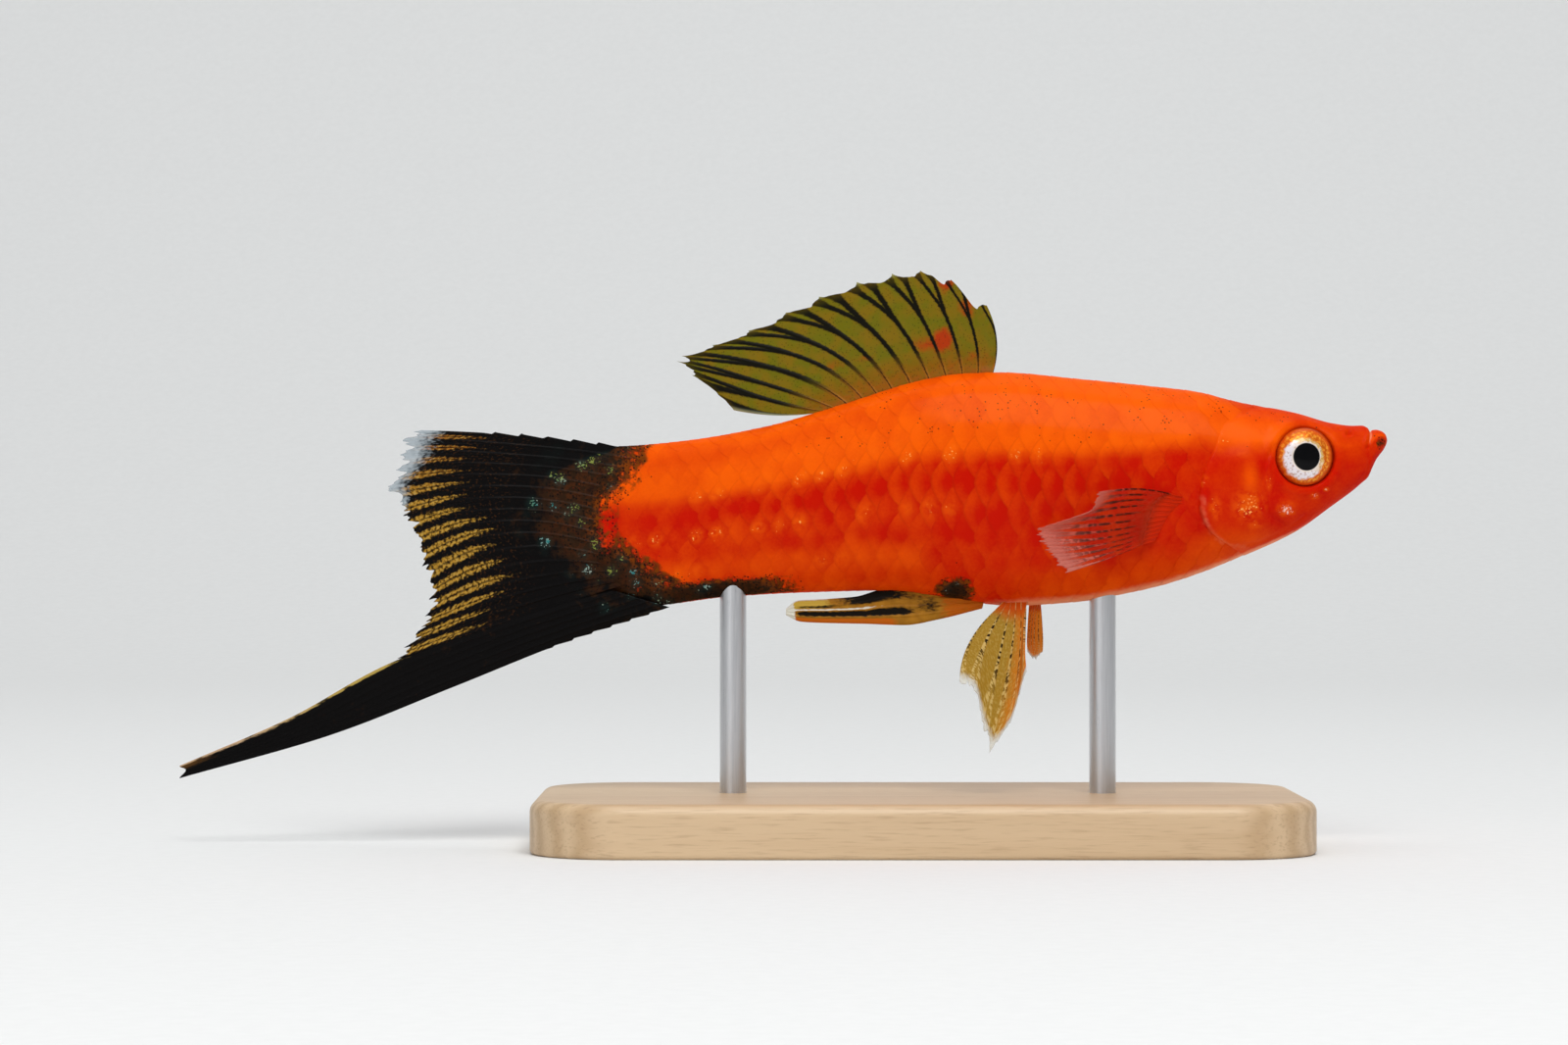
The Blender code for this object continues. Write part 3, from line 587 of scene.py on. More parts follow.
def body_marks(back, up, row):
    """Red, gold, dark and pale masks at places given by back, up and scale row."""
    uneven = 0.35 * wobble(back + 3.1 * row, 1.3, 11)
    soft = 1 + 2.2 * ramp(back, 18, 11)
    below_top = ramp(row, smooth(RED_TOP, back) - 0.35 * soft, smooth(RED_TOP, back) + 0.45 * soft)
    above_end = ramp(row + uneven, smooth(RED_END, back) + 0.7, smooth(RED_END, back) - 0.7)
    rear = ramp(back, 29, 36)
    lane = 0.5 + 0.5 * np.cos(np.pi * (row - 4.5))
    lower = below_top * (1 - above_end)
    red = (below_top * above_end * (0.92 - 0.16 * rear * lane)
           + lower * (0.72 - 0.2 * lane)
           + (1 - below_top) * (0.06 + 0.12 * ramp(back, 34, 56) + 0.2 * hill(row, 2.0, 0.5) * rear))
    red = np.maximum(red, 0.85 * ramp(back, 7.0, 2.2) * ramp(back, 0.9, 1.8))
    red = np.maximum(red, 0.62 * ramp(back, 16, 9) * ramp(row, 5.0, 1.5))
    red = np.maximum(red, 0.75 * oval(back, up, 13.0, -1.2, 3.5, 0.8))
    red -= 0.3 * oval(back, up, 9.5, 0.8, 2.6, 1.2)
    # Less red on the front of the belly: partly its own lighter orange, partly painted light that lifts the
    # weakly lit underside.
    red -= 0.45 * ramp(row, 7.5, 10.0) * ramp(back, 8, 14) * ramp(back, 31, 25)
    red -= 0.55 * oval(back, up, 10.7, -2.7, 0.6, 1.2)
    red -= 0.3 * oval(back, up, 11.3, -7.2, 2.6, 1.0)

    stripe = hill(row, smooth(RED_TOP, back) - 0.15, 0.5)
    gold = 0.9 * stripe * ramp(back, 16, 21) * ramp(back, 59, 50)
    gold += 0.8 * hill(row, 6.5, 0.5) * ramp(back, 29, 36) * ramp(back, 60, 54)
    gold += 0.55 * hill(row, 8.5, 0.6) * ramp(back, 34, 42) * ramp(back, 60, 54)
    gold += 0.3 * hill(row, 2.5, 0.6) * ramp(back, 36, 46) * ramp(back, 58, 52)
    # Pale line along the belly's lower edge: painted highlight, where light grazes the belly.
    pale = 0.9 * ramp(row, 9.7, 10.6) * ramp(back, 3, 9) * ramp(back, 33, 27)
    for at_back, at_up, length, height, shine, silver in SHINY_PATCHES:
        patch = ramp(np.hypot((back - at_back) / length, (up - at_up) / height), 1.3, 0.1)
        gold = np.maximum(gold, shine * patch)
        pale = np.maximum(pale, silver * patch)
    pale = np.maximum(pale, 0.42 * hill(near_path(GILL_CRESCENT, back, up), 0, 0.45))
    pale = np.maximum(pale, 0.7 * hill(near_path(MOUTH_LINE[1:], back, up), 0.0, 0.16) * (back < 1.5))
    pale = np.maximum(pale, 0.5 * ramp(back, 0.3, 0.05))

    black = tail_dark(back, up)
    black = np.maximum(black, 0.62 * ramp(row, 8.9, 9.7) * ramp(row, 10.8, 10.5)
                       * ramp(back, 42, 50) * ramp(back, 60, 56))
    black = np.maximum(black, 0.8 * oval(back, up, 32.7, -11.3, 1.1, 0.8))
    black = np.maximum(black, 0.22 * oval(back, up, 0.6, -0.1, 0.4, 0.6))
    black = np.maximum(black, 0.05 * ramp(row, 4.2, 3.0) * ramp(back, 5, 8) * ramp(back, 50, 34))
    return np.stack(np.broadcast_arrays(red, gold, black, pale), -1)


# %% [markdown]
# ## The skin's finish
# Living fish skin is pigment under clear, moist slime. Orange and red pigment lies deep and glows
# softly, black cells lie over it as tiny dots, and guanine crystals flash gold. So the colour is
# built in that order: a base from orange to red that varies from scale to scale, with painted shade
# where each scale comes out from under the one in front and along its rear edge, gold flecks that
# are partly metal, black dots where the masks say so, and a thin clear coat over everything.

# %% The skin's finish
ORANGE, RED = (0.92, 0.106, 0.0003), (0.57, 0.006, 0.0002)
GOLD, SILVER = (1.0, 0.5, 0.12), (0.95, 0.68, 0.6)
skin_look, (place, marks, pale, overlap_shade_and_tone, spot, edge), gives = new_group(
    "fish_skin", "Place Marks Pale Blotch Spot Edge", "Color Metallic Roughness Height")
red, gold, black = channels(marks)
fine = noise(place, 5.0, 3.0)
redder = red + (noise(place, 0.45, 5.0) - 0.5) * 0.75 + (fine - 0.5) * 0.25
# Adds each scale's painted shade under the scale in front, and its own random tone.
redder = math("ADD", redder, overlap_shade_and_tone, clamp=True)
# Pale: lips, gill crescent and silver patches, and the painted highlight along the belly's lower edge.
pale_and_belly_highlight = step(pale + noise(place, 2.2, 4.0) * 0.4, 0.45, 1.1)
spotted = gold * spot
glow = spotted * step(noise(place, 1.8, 4.0), 0.35, 0.62)
flashes = use(glitter, Amount=spotted * 0.85, Place=place)
gilt = flashes["Mask"] * step(flashes["Tone"], -0.6, 1.0)
nests = step(noise(place, 0.8, 1.0), 0.52, 0.6)
dots = use(flecks, Amount=black * nests * 2.4, Place=place, Scale=6.5)["Mask"]
base = coats(mix(redder, ORANGE, RED),
             # Painted shade along each scale's rear edge.
             (edge, (0.42, 0.012, 0.0003)),
             (pale_and_belly_highlight * 0.8, (0.85, 0.33, 0.17)),
             (glow * 0.55, (1.0, 0.17, 0.003)),
             (gilt * 0.85, mix(step(pale, 0.1, 0.4), GOLD, SILVER)),
             (dots * 0.9, (0.03, 0.004, 0.001)))
shaded = use(tail_shade, Color=base, Dark=black * step(black, 0.06, 0.12), Place=place)
wire(gives, color=shaded["Color"], metallic=gilt * 0.3,
     roughness=0.4 + fine * 0.25 - gilt * 0.15, height=fine * 0.5 + gilt * 0.3)


def distance(place, centre, scale):
    """Length of the way from a centre to a place, with each axis multiplied."""
    return vector("LENGTH", stretch(vector("SUBTRACT", place, centre)[0], scale))["Value"]


def skin_material(name, scaled):
    """Moist skin. On scales a redder, darker blotch of painted shade lies at the front of what shows
    of each one, where it comes out from under the scale in front, and the rest of the scale is
    painted a little lighter. Gold gathers behind the blotch, and the rear edge is darkened with
    painted shade. Each scale has its own strength of this painted shade and light, and its own tone."""
    material, shader = new_material(
        name, coat_weight=0.035, coat_roughness=0.12, ior=1.25, specular_ior_level=0.06,
        subsurface_weight=0.06, subsurface_scale=0.0004, subsurface_radius=(1.0, 0.15, 0.03))
    tree = material.node_tree
    marks = node("ShaderNodeAttribute", {}, tree, attribute_name="marks")
    looks = {"Place": place_in_mm(tree), "Marks": marks["Color"], "Pale": marks["Alpha"], "Spot": 1.0}
    if scaled:
        tone = node("ShaderNodeAttribute", {}, tree, attribute_name="tone")
        strength, own_tone, own_gold = channels(tone["Color"])
        at = node("ShaderNodeUVMap", {}, tree, uv_map="Scale")[0]
        # Painted shade: redder and darker at the front of what shows of each scale, under the edge of the
        # scale in front, and painted a little lighter elsewhere.
        overlap_shade_and_tone = step(distance(at, (0.5, 0.46, 0.0), (0.95, 2.0, 1.0)), 0.8, 0.0) * 0.24 - 0.09
        looks["Blotch"] = overlap_shade_and_tone * strength + (own_tone - 0.5) * 0.2
        looks["Spot"] = step(distance(at, (0.5, 0.74, 0.0), (2.2, 2.2, 1.0)), 0.85, 0.1) * own_gold
        along = node("ShaderNodeSeparateXYZ", {0: at})[1]
        # Painted shade: a darker line along each scale's rear edge, where it steps down onto the scale
        # behind.
        looks["Edge"] = step(along, 0.9, 1.0) * 0.3 * strength
    look = use(skin_look, **looks)
    wire(shader, base_color=look["Color"], metallic=look["Metallic"], roughness=look["Roughness"],
         normal=bumped(look["Height"], 0.2))
    return material


skin_finish = skin_material("moist_skin", False)
scale_finish = skin_material("moist_scales", True)
print("finishes made:", skin_finish.name, scale_finish.name)

# %% [markdown]
# ## The skin
# One closed surface runs from the lips to the tail's root, with no seam between head, trunk and
# tail. It lies a scale's depth inside the solids, so that the scales on top come level with them.
# In the gill region its level drops behind the cover's free edge. The rings are close together
# on the face, where the relief is fine, and wider apart along the flank.

# %% The skin
SKIN_ROUND = 236
SKIN_BACKS = np.concatenate([2.2 * np.linspace(0.03, 1, 60)[:-1] ** 1.7, np.linspace(2.2, 10.5, 75)[:-1],
                             np.linspace(10.5, 15, 64)[:-1], np.linspace(15, 60.7, 175)])
SKIN_LEVELS = np.linspace(0.02, 0.98, len(SKIN_BACKS))
backs, turns = np.meshgrid(SKIN_BACKS, np.arange(SKIN_ROUND) / SKIN_ROUND, indexing="ij")
plain_up = flesh(backs, turns)[1]
rows = row_of(turns)
sideways = np.abs(np.sin(around(turns)))
behind = scales_from(backs, plain_up, rows)
sharp_edge = ramp(rows, 2.4, 3.4)
drop = ramp(behind, -0.05, 0.2 + 1.2 * (1 - sharp_edge))
relief = face_height(backs, plain_up, sideways) * (1 - drop)
lift = relief - HEAD_DEPTH - (SKIN_DEPTH - HEAD_DEPTH) * drop
skin_out, skin_up = flesh(backs, turns, lift)
snout_tip = placed(0.0, 0.05, 0.0)[None, :]
tail_end = placed(60.8, -6.4, 0.0)[None, :]
skin = add_tube("skin", placed(backs, skin_up, skin_out), np.concatenate([snout_tip, tail_end]),
                skin_finish, levels=SKIN_LEVELS, marks=with_poles(body_marks(backs, plain_up, rows)))
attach(skin, "root")
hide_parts("head", "trunk", "tail_peduncle")

# %% [markdown]
# ## The scales
# The scales overlap like roof tiles, in rows whose scales are set off by half a scale from row to
# row. Each one is a thin plate that starts under its neighbours in front and rises towards its
# round rear edge. All plates are made together: the arrays have one axis for the scale and two
# for the place on its plate, p across and q along. The plate is bent to the body by asking the
# body's form for each point. The random tone gives every scale its own shade.

# %% The scales
PLATE = 7
HIDDEN_LENGTH = 1.3
ROUND_SHARE = 0.72
SCALE_RISE = 0.024
SCALE_ROOT_DEPTH = 0.105
SCALE_CROWN = 0.014
SKIRT = 0.02
SCALE_COLUMNS = 34
FIRST_COLUMN = 5.2
COLUMN_STEP = 1.74
STEP_LOSS = 0.0035


def column_back(column):
    """Where a scale column starts: steps that shorten evenly towards the tail."""
    return FIRST_COLUMN + COLUMN_STEP * column - STEP_LOSS * column ** 2


row_index, column_index = np.meshgrid(np.arange(ROWS_AROUND), np.arange(SCALE_COLUMNS), indexing="ij")
starts = column_back(column_index + 0.5 * (row_index % 2)).ravel()
centre_turn = ((row_index + 0.5) / ROWS_AROUND).ravel()
seen_at = starts + HIDDEN_LENGTH + 0.3
seen_up = flesh(np.minimum(seen_at, 60.0), centre_turn)[1]
kept = ((scales_from(seen_at, seen_up, row_of(centre_turn)) > -0.5)
        & (seen_at < seam_at(CAUDAL_SEAM, seen_up) - 0.2))
starts, centre_turn = starts[kept], centre_turn[kept]
count = len(starts)

p, q = np.meshgrid(np.linspace(-1, 1, PLATE), np.linspace(0, 1, PLATE), indexing="ij")
step_here = COLUMN_STEP - 2 * STEP_LOSS * (starts - FIRST_COLUMN) / 1.7
length = HIDDEN_LENGTH + ROUND_SHARE * step_here[:, None, None] * (1 - np.abs(p) ** 1.8)
along = q * length
plate_backs = starts[:, None, None] + along
plate_turns = centre_turn[:, None, None] + p / ROWS_AROUND
crown = SCALE_CROWN * (1 - p ** 2) * q
plate_lift = -SCALE_ROOT_DEPTH + SCALE_RISE * along + crown
upper_out, plate_up = flesh(plate_backs, plate_turns, plate_lift)
lower_out, lower_up = flesh(plate_backs, plate_turns, plate_lift - SKIRT)
top = placed(plate_backs, plate_up, upper_out)
under = placed(plate_backs, lower_up, lower_out)
border = np.concatenate([np.arange(PLATE - 1) * PLATE, (PLATE - 1) * PLATE + np.arange(PLATE - 1),
                         np.arange(PLATE - 1, 0, -1) * PLATE + PLATE - 1, np.arange(PLATE - 1, 0, -1)])
flat_top = top.reshape(count, -1, 3)
flat_under = under.reshape(count, -1, 3)[:, border]
each = PLATE * PLATE + len(border)
scale_points = np.concatenate([flat_top, flat_under], axis=1).reshape(-1, 3)
quads = grid_faces(PLATE, PLATE)
ring = PLATE * PLATE + np.arange(len(border))
skirt = np.stack([border, ring, np.roll(ring, -1), np.roll(border, -1)], -1)[:, ::-1]
offset = (np.arange(count) * each)[:, None, None]
scale_faces = [(quads[None] + offset).reshape(-1, 4), (skirt[None] + offset).reshape(-1, 4),
               (ring[None] + offset[:, :, 0]).reshape(-1, len(border))]
plate_map = np.stack([0.5 + 0.5 * p, q], -1).reshape(-1, 2)
local = np.concatenate([plate_map, plate_map[border]])
own_map = [np.broadcast_to(local[f][None], (count, *f.shape, 2)).reshape(-1, f.shape[-1], 2)
           for f in (quads, skirt, ring[::-1][None])]
PATCH = 0.0015
root_at = np.stack([centre_turn, np.interp(starts, SKIN_BACKS, SKIN_LEVELS)], -1)
bake_map = [(c.reshape(count, -1, c.shape[-2], 2) - 0.5) * 2 * PATCH + root_at[:, None, None, :]
            for c in own_map]
bake_map = [b.reshape(-1, b.shape[-2], 2) for b in bake_map]
scale_marks = body_marks(plate_backs, plate_up, row_of(plate_turns)).reshape(count, -1, 4)
scale_marks = np.concatenate([scale_marks, scale_marks[:, border]], axis=1).reshape(-1, 4)
scales = add_piece("scales", scale_points, scale_faces, scale_finish,
                   {"OFBake": bake_map, "Scale": own_map}, marks=scale_marks, sharp=40)
row_here = row_of(centre_turn)
# How strong each scale's painted shade is: strongest in the red band.
strength = (0.3 + 0.7 * hill(row_here, 5.6, 1.5)) * ramp(seen_at[kept], 13, 24) * ramp(seen_at[kept], 64, 40)
draws = np.random.default_rng(5).uniform(0, 1, (2, count))
own = np.stack([strength, draws[0], ramp(draws[1], 0.15, 0.9), np.ones(count)], -1)
tone_layer = scales.data.attributes.new("tone", "FLOAT_COLOR", "POINT")
tone_layer.data.foreach_set("color", np.repeat(own, each, axis=0).astype(np.float32).ravel())
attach(scales, "root")
print(count, "scales in", ROWS_AROUND, "rows")

# %% [markdown]
# ## The eyes
# A fish's eye is a flattened ball that bulges from its socket, with a round black pupil in a
# metallic iris. It is a profile turned about an axis that looks outwards and a little forward.
# A flat map across the eye carries the iris pattern: rings by distance from the middle, and a
# change of tone by direction. The clear coat stands for the wet cornea.

# %% The eyes' finish
EYE_RADIUS = 2.2
PUPIL_RADIUS = 1.04
iris_finish, shader = new_material("eye_iris", coat_weight=0.12, coat_roughness=0.02, ior=1.38,
                                   specular_ior_level=0.08)
eye_map = node("ShaderNodeUVMap", {}, iris_finish.node_tree, uv_map="Eye")[0]
flat = stretch(vector("SUBTRACT", eye_map, (0.5, 0.5, 0.0))[0], (2 * EYE_RADIUS, 2 * EYE_RADIUS, 0.0))
radius = vector("LENGTH", flat)["Value"]
lean = vector("DOT_PRODUCT", flat, (0.35, 0.3, 0.0))["Value"]
grit = noise(flat, 2.6, 5.0)
speckle = noise(flat, 5.0, 3.0)
ragged = radius + (grit - 0.5) * 0.5
amber = mix(step(speckle, 0.45, 0.62), (0.66, 0.12, 0.006), (0.88, 0.32, 0.03))
iris = coats(mix(step(lean + grit * 0.5, 0.0, 0.7), (0.82, 0.76, 0.80), (0.80, 0.50, 0.16)),
             (step(speckle, 0.52, 0.64) * 0.6, (0.40, 0.16, 0.05)),
             (step(speckle, 0.42, 0.3) * 0.6, (0.95, 0.85, 0.8)),
             (step(ragged + lean * 0.3, 1.42, 1.62), amber),
             (step(ragged, 1.85, 2.0) * 0.8, (0.62, 0.07, 0.004)),
             (step(radius, 2.06, 2.16), (0.45, 0.04, 0.003)),
             (step(ragged, 1.2, 1.1), (0.85, 0.74, 0.66)),
             (step(radius, PUPIL_RADIUS + 0.03, PUPIL_RADIUS - 0.03), (0.0015, 0.0015, 0.002)))
metal = step(radius, 0.98, 1.08) * step(radius, 1.9, 1.6)
wire(shader, base_color=iris, metallic=metal * 0.35, roughness=0.22 + speckle * 0.25)

# %% The eyes
EYE_DEPTH = 1.2
EYE_PROUD = 0.42
EYE_TURN = np.radians(14)
PUPIL_BACK = 0.22


def add_eye(name, side, node):
    """Eyeball: radius grows from the middle and comes back in behind; height is a half ellipse in
    front and a shallower one behind, along the axis that the eye looks in."""
    swing = np.linspace(0.03, np.pi - 0.35, 44)[:, None]
    angle = np.linspace(0, 2 * np.pi, 97)[None, :-1]
    radius = EYE_RADIUS * np.sin(swing) ** 0.8 + 0 * angle
    height = EYE_DEPTH * np.sign(np.cos(swing)) * np.abs(np.cos(swing)) ** 0.8 + 0 * angle
    forward, upward = radius * np.cos(angle), radius * np.sin(angle)
    cosine, sine = np.cos(EYE_TURN), np.sin(EYE_TURN)
    local = np.stack([forward * cosine + height * sine,
                      (height * cosine - forward * sine) * side, upward], -1)
    centre = placed(*EYE_AT, side * (float(flank(*EYE_AT)) + EYE_PROUD - EYE_DEPTH))
    rings = local * MM + centre
    poles = np.array([[sine, cosine * side, 0], [-sine, -cosine * side, 0]]) * MM * EYE_DEPTH
    poles[1] *= 0.96
    flat_map = np.stack([0.5 + side * -(forward + PUPIL_BACK) / (2 * EYE_RADIUS),
                         0.5 + upward / (2 * EYE_RADIUS)], -1)
    eye = add_tube(name, rings, poles + centre, iris_finish, point_maps={"Eye": with_poles(flat_map)})
    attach(eye, "root")
    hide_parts(node)


add_eye("eyeball_right", -1, "eye_right")
add_eye("eyeball_left", 1, "eye_left")

# %% [markdown]
# ## Fins as blades
# A fin is a skin film stretched over bony rays. Each ray is a parabola through its root, its
# middle and its tip, and those three run along smooth paths from the first ray to the last. The
# film is a tenth of a millimetre thick, and the rays stand out from it as ridges that fork on
# their way. Two like sheets and a rim close the blade, so that it is solid at every point.

# %% Fins as blades
SUNK = 0.12


def fan_grid(form, per_ray, rows, notch, fray, seed, cuts=()):
    """Ray number, share along the ray and (back, up) place on a fan: root (1 - t)(1 - 2t) plus
    middle 4t(1 - t) plus edge t(2t - 1). Between the rays the edge is drawn in by the notch, it
    is frayed at random, and each cut (ray number, width, depth) draws it in once more."""
    number = np.linspace(0, form["rays"] - 1, (form["rays"] - 1) * per_ray + 1)
    between = 2 * np.abs(number - np.round(number))
    reach = 1 - notch * np.sqrt(between) - fray * (0.5 + 0.5 * wobble(number, 0.13, seed))
    reach -= sum(depth * hill(number, at, width) for at, width, depth in cuts)
    along = np.linspace(-SUNK, 1, rows)[:, None] * reach[None, :]
    share = number / (form["rays"] - 1)
    root, middle, edge = (smooth_path(form[path], share) for path in ("root", "middle", "edge"))
    t = along[..., None]
    flat = root * (1 - t) * (1 - 2 * t) + middle * 4 * t * (1 - t) + edge * t * (2 * t - 1)
    return np.broadcast_to(number, along.shape), along, flat


def ray_gap(number, along, forks):
    """Distance in ray spacings to the nearest branch of a ray. At each fork a ray splits in two,
    which part by the spread on their way to the edge."""
    gap = np.abs(number - np.round(number))
    for start, spread in forks:
        gap = np.abs(gap - spread * ramp(along, start, 1.0))
    return gap


def add_blade(name, middle, thickness, material, rays_map, marks):
    """Closed blade: a grid of points moved half a thickness to either side along its normal, and
    a rim of quads between the borders of the two sheets."""
    normal = np.cross(np.gradient(middle, axis=0), np.gradient(middle, axis=1))
    normal /= np.linalg.norm(normal, axis=-1, keepdims=True) + 1e-12
    half = normal * thickness[..., None] * MM / 2
    rows, columns = middle.shape[:2]
    points = np.concatenate([(middle + half).reshape(-1, 3), (middle - half).reshape(-1, 3)])
    far = rows * columns
    loop = np.concatenate([np.arange(columns), np.arange(1, rows) * columns + columns - 1,
                           (rows - 1) * columns + np.arange(columns - 2, -1, -1),
                           np.arange(rows - 2, 0, -1) * columns])
    after = np.roll(loop, -1)
    faces = [grid_faces(rows, columns), grid_faces(rows, columns, first=far)[:, ::-1],
             np.stack([after, loop, loop + far, after + far], -1)]
    k = np.arange(len(loop)) / len(loop)
    step = 1 / len(loop)
    rim = np.stack([np.stack([k + step, k, k, k + step], -1),
                    np.tile([0.001, 0.001, 0.012, 0.012], (len(loop), 1))], -1)
    bake = [grid_corners(rows, columns, u=(0.01, 0.49), v=(0.02, 0.99)),
            grid_corners(rows, columns, u=(0.51, 0.99), v=(0.02, 0.99))[:, ::-1], rim]
    both = np.tile(rays_map.reshape(-1, 2), (2, 1))
    return add_piece(name, points, faces, material, {"OFBake": bake}, point_maps={"Rays": both},
                     marks=np.tile(marks.reshape(-1, 4), (2, 1)))


# %% Lines of rays on a fin
ray_lines, (place, rays, fork, second_fork, width, widen, rough), gives = new_group(
    "ray_lines", "Place Rays Fork Second Width Widen Rough", "Mask Between Gap Grain")
at = node("ShaderNodeSeparateXYZ", {0: place})
number = at[0] * rays
between = math("ABSOLUTE", number - math("ROUND", number))
gap = math("ABSOLUTE", between - step(at[1], fork, 1.0) * 0.25)
gap = math("ABSOLUTE", gap - step(at[1], second_fork, 1.0) * 0.12)
along_rays = stretch(node("ShaderNodeCombineXYZ", {0: number, 1: at[1]})[0], (6.0, 48.0, 1.0))
grain = noise(along_rays, 1.0, 3.0)
gap = gap + (grain - 0.5) * rough
width = width + at[0] * widen
wire(gives, mask=step(gap, width, width * 0.45), between=between, gap=gap, grain=grain)


def start_fin(name, rays, forks, width, widen=0.0, rough=0.1):
    """New fin material: its shader, its place in mm, its place on the map of rays, its four marks
    and its ray lines."""
    material, shader = new_material(name, coat_weight=0.03, coat_roughness=0.15, ior=1.33,
                                    specular_ior_level=0.06)
    tree = material.node_tree
    place = place_in_mm(tree)
    at = node("ShaderNodeUVMap", {}, tree, uv_map="Rays")[0]
    marks = node("ShaderNodeAttribute", {}, tree, attribute_name="marks")
    lines = use(ray_lines, Place=at, Rays=rays - 1.0, Fork=forks[0], Second=forks[1], Width=width,
                Widen=widen, Rough=rough)
    return material, shader, place, at, (*channels(marks["Color"]), marks["Alpha"]), lines


def end_fin(shader, place, colour, lines, alpha=1.0):
    """Wire colour, roughness, bump and, for clear films, alpha into the shader."""
    fine = noise(place, 7.0, 2.0)
    wire(shader, base_color=colour, roughness=0.38 + fine * 0.2, alpha=alpha,
         normal=bumped(fine + lines["Grain"] * 0.6, 0.25))


def stairs(along, count, height):
    """Steps on a fin's outer ray, whose joints stand out: a saw of so many teeth along it."""
    return height * (((along * count) % 1.0) - 0.5)


def rays_place(number, along, rays):
    """Place on the map of rays: share of the way across, and share along the ray."""
    return np.stack([number / (rays - 1), np.clip(along, 0, 1)], -1)


# %% [markdown]
# ## The dorsal fin
# The fin on the back leans to the rear like a sail. Its film is olive-yellow, and its rays are
# black in the outer half, where they fork and break up into dashes.

# %% The dorsal fin
DORSAL = {
    "rays": 13,
    "root": [(29.7, 5.4), (32.1, 5.2), (34.6, 4.7), (37.3, 3.8), (39.6, 3.2), (42.0, 2.6), (43.6, 2.1)],
    "middle": [(29.5, 7.9), (33.2, 9.2), (36.8, 8.7), (40.7, 7.7), (44.3, 6.4), (46.8, 4.3), (46.5, 2.0)],
    "edge": [(30.3, 10.4), (33.1, 12.5), (35.3, 13.0), (37.4, 12.7), (40.1, 12.1), (43.0, 11.0), (45.6, 9.8),
             (48.4, 8.4), (51.2, 7.3), (53.5, 6.5), (53.7, 6.1), (52.7, 5.1), (49.4, 2.4)],
}
dorsal_finish, shader, place, at, (dark, blush, base, pale), lines = start_fin(
    "dorsal_film", 13, (0.5, 0.85), 0.085, 0.15, 0.12)
olive = mix(step(noise(place, 0.9, 4.0), 0.35, 0.65), (0.15, 0.135, 0.003), (0.215, 0.13, 0.004))
dust = use(flecks, Amount=0.28, Place=place, Scale=7.0)["Mask"]
halo = step(lines["Gap"], 0.16, 0.08) * (1.0 - dark)
core = step(lines["Gap"], 0.055, 0.02)
ink = math("MAXIMUM", lines["Mask"] * dark, core * 0.85)
colour = coats(olive,
               (base * noise(place, 2.0, 3.0), (0.36, 0.06, 0.002)),
               (step(blush + noise(place, 1.7, 3.0) * 0.7, 0.55, 1.2), (0.42, 0.035, 0.002)),
               (dust * 0.45, (0.03, 0.022, 0.002)),
               (halo * 0.6, (0.42, 0.15, 0.012)),
               (ink, (0.007, 0.006, 0.003)),
               (pale * 0.7, (0.42, 0.42, 0.22)))
end_fin(shader, place, colour, lines, 1.0 - (1.0 - ink) * 0.07)

number, along, flat = fan_grid(DORSAL, 18, 80, 0.055, 0.02, 21, [(0.55, 0.3, 0.17), (1.4, 0.18, 0.06)])
share = number / (DORSAL["rays"] - 1)
out = 0.35 * np.sin(2.5 * share) * along ** 2
ridge = hill(ray_gap(number, along, ((0.5, 0.25), (0.85, 0.12))), 0, 0.085)
thickness = 0.08 + 0.13 * ridge * ramp(along, 1.0, 0.6) + 0.04 * ridge + 0.4 * ramp(along, 0.1, -0.05)
backs, ups = flat[..., 0], flat[..., 1]
blushes = sum(power * oval(backs, ups, *form) for *form, power in (
    (33.5, 7.8, 0.75, 0.9, 1.0), (35.1, 7.3, 1.3, 0.7, 0.6), (41.4, 5.8, 1.6, 0.6, 0.4),
    (39.2, 6.3, 1.0, 0.5, 0.35), (31.7, 10.2, 0.8, 1.0, 0.7), (33.3, 12.0, 0.7, 0.8, 0.9),
    (31.0, 6.6, 2.0, 0.8, 0.4)))
dorsal_marks = np.stack([ramp(along, 0.02, 0.2 + 0.25 * share) * (1 - 0.35 * ramp(along, 0.86, 1.0)),
                         blushes, ramp(along, 0.28, 0.0),
                         ramp(along, 0.955, 1.0) * ramp(share, 0.1, 0.3)
                         + 0.9 * ramp(share, 0.985, 1.0)], -1)
dorsal = add_blade("dorsal_sail", placed(backs, ups, out), thickness, dorsal_finish,
                   rays_place(number, along, DORSAL["rays"]), dorsal_marks)
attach(dorsal, "root")
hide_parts("dorsal_fin")

# %% [markdown]
# ## The tail fin
# The tail fin is black with a brown base, where coloured specks shine, and gold shows between
# the rays towards the edge. Its lower rays run on into the sword.

# %% The tail fin
CAUDAL = {
    "rays": 16,
    "root": [(57.7, -0.4), (59.4, -2.5), (60.3, -5.0), (60.5, -7.5), (59.9, -9.8), (58.9, -11.2)],
    "middle": [(65.5, 0.5), (67.4, -1.7), (67.7, -4.3), (67.2, -7.1), (66.4, -10.7), (66.8, -13.75)],
    "edge": [(73.8, 0.9), (74.9, 0.0), (74.8, -1.0), (75.5, -2.2), (76.2, -3.5), (75.1, -4.7), (74.7, -5.9),
             (74.0, -7.0), (73.6, -8.3), (73.2, -9.6), (72.6, -11.0), (72.6, -12.1), (72.9, -13.3),
             (73.6, -14.5), (74.4, -15.6), (75.4, -16.75)],
}
FLESH_TONE = (0.7, 0.055, 0.0005)
caudal_finish, shader, place, at, (gold, streak, dark, pale), lines = start_fin(
    "tail_film", 16, (0.35, 0.65), 0.13)
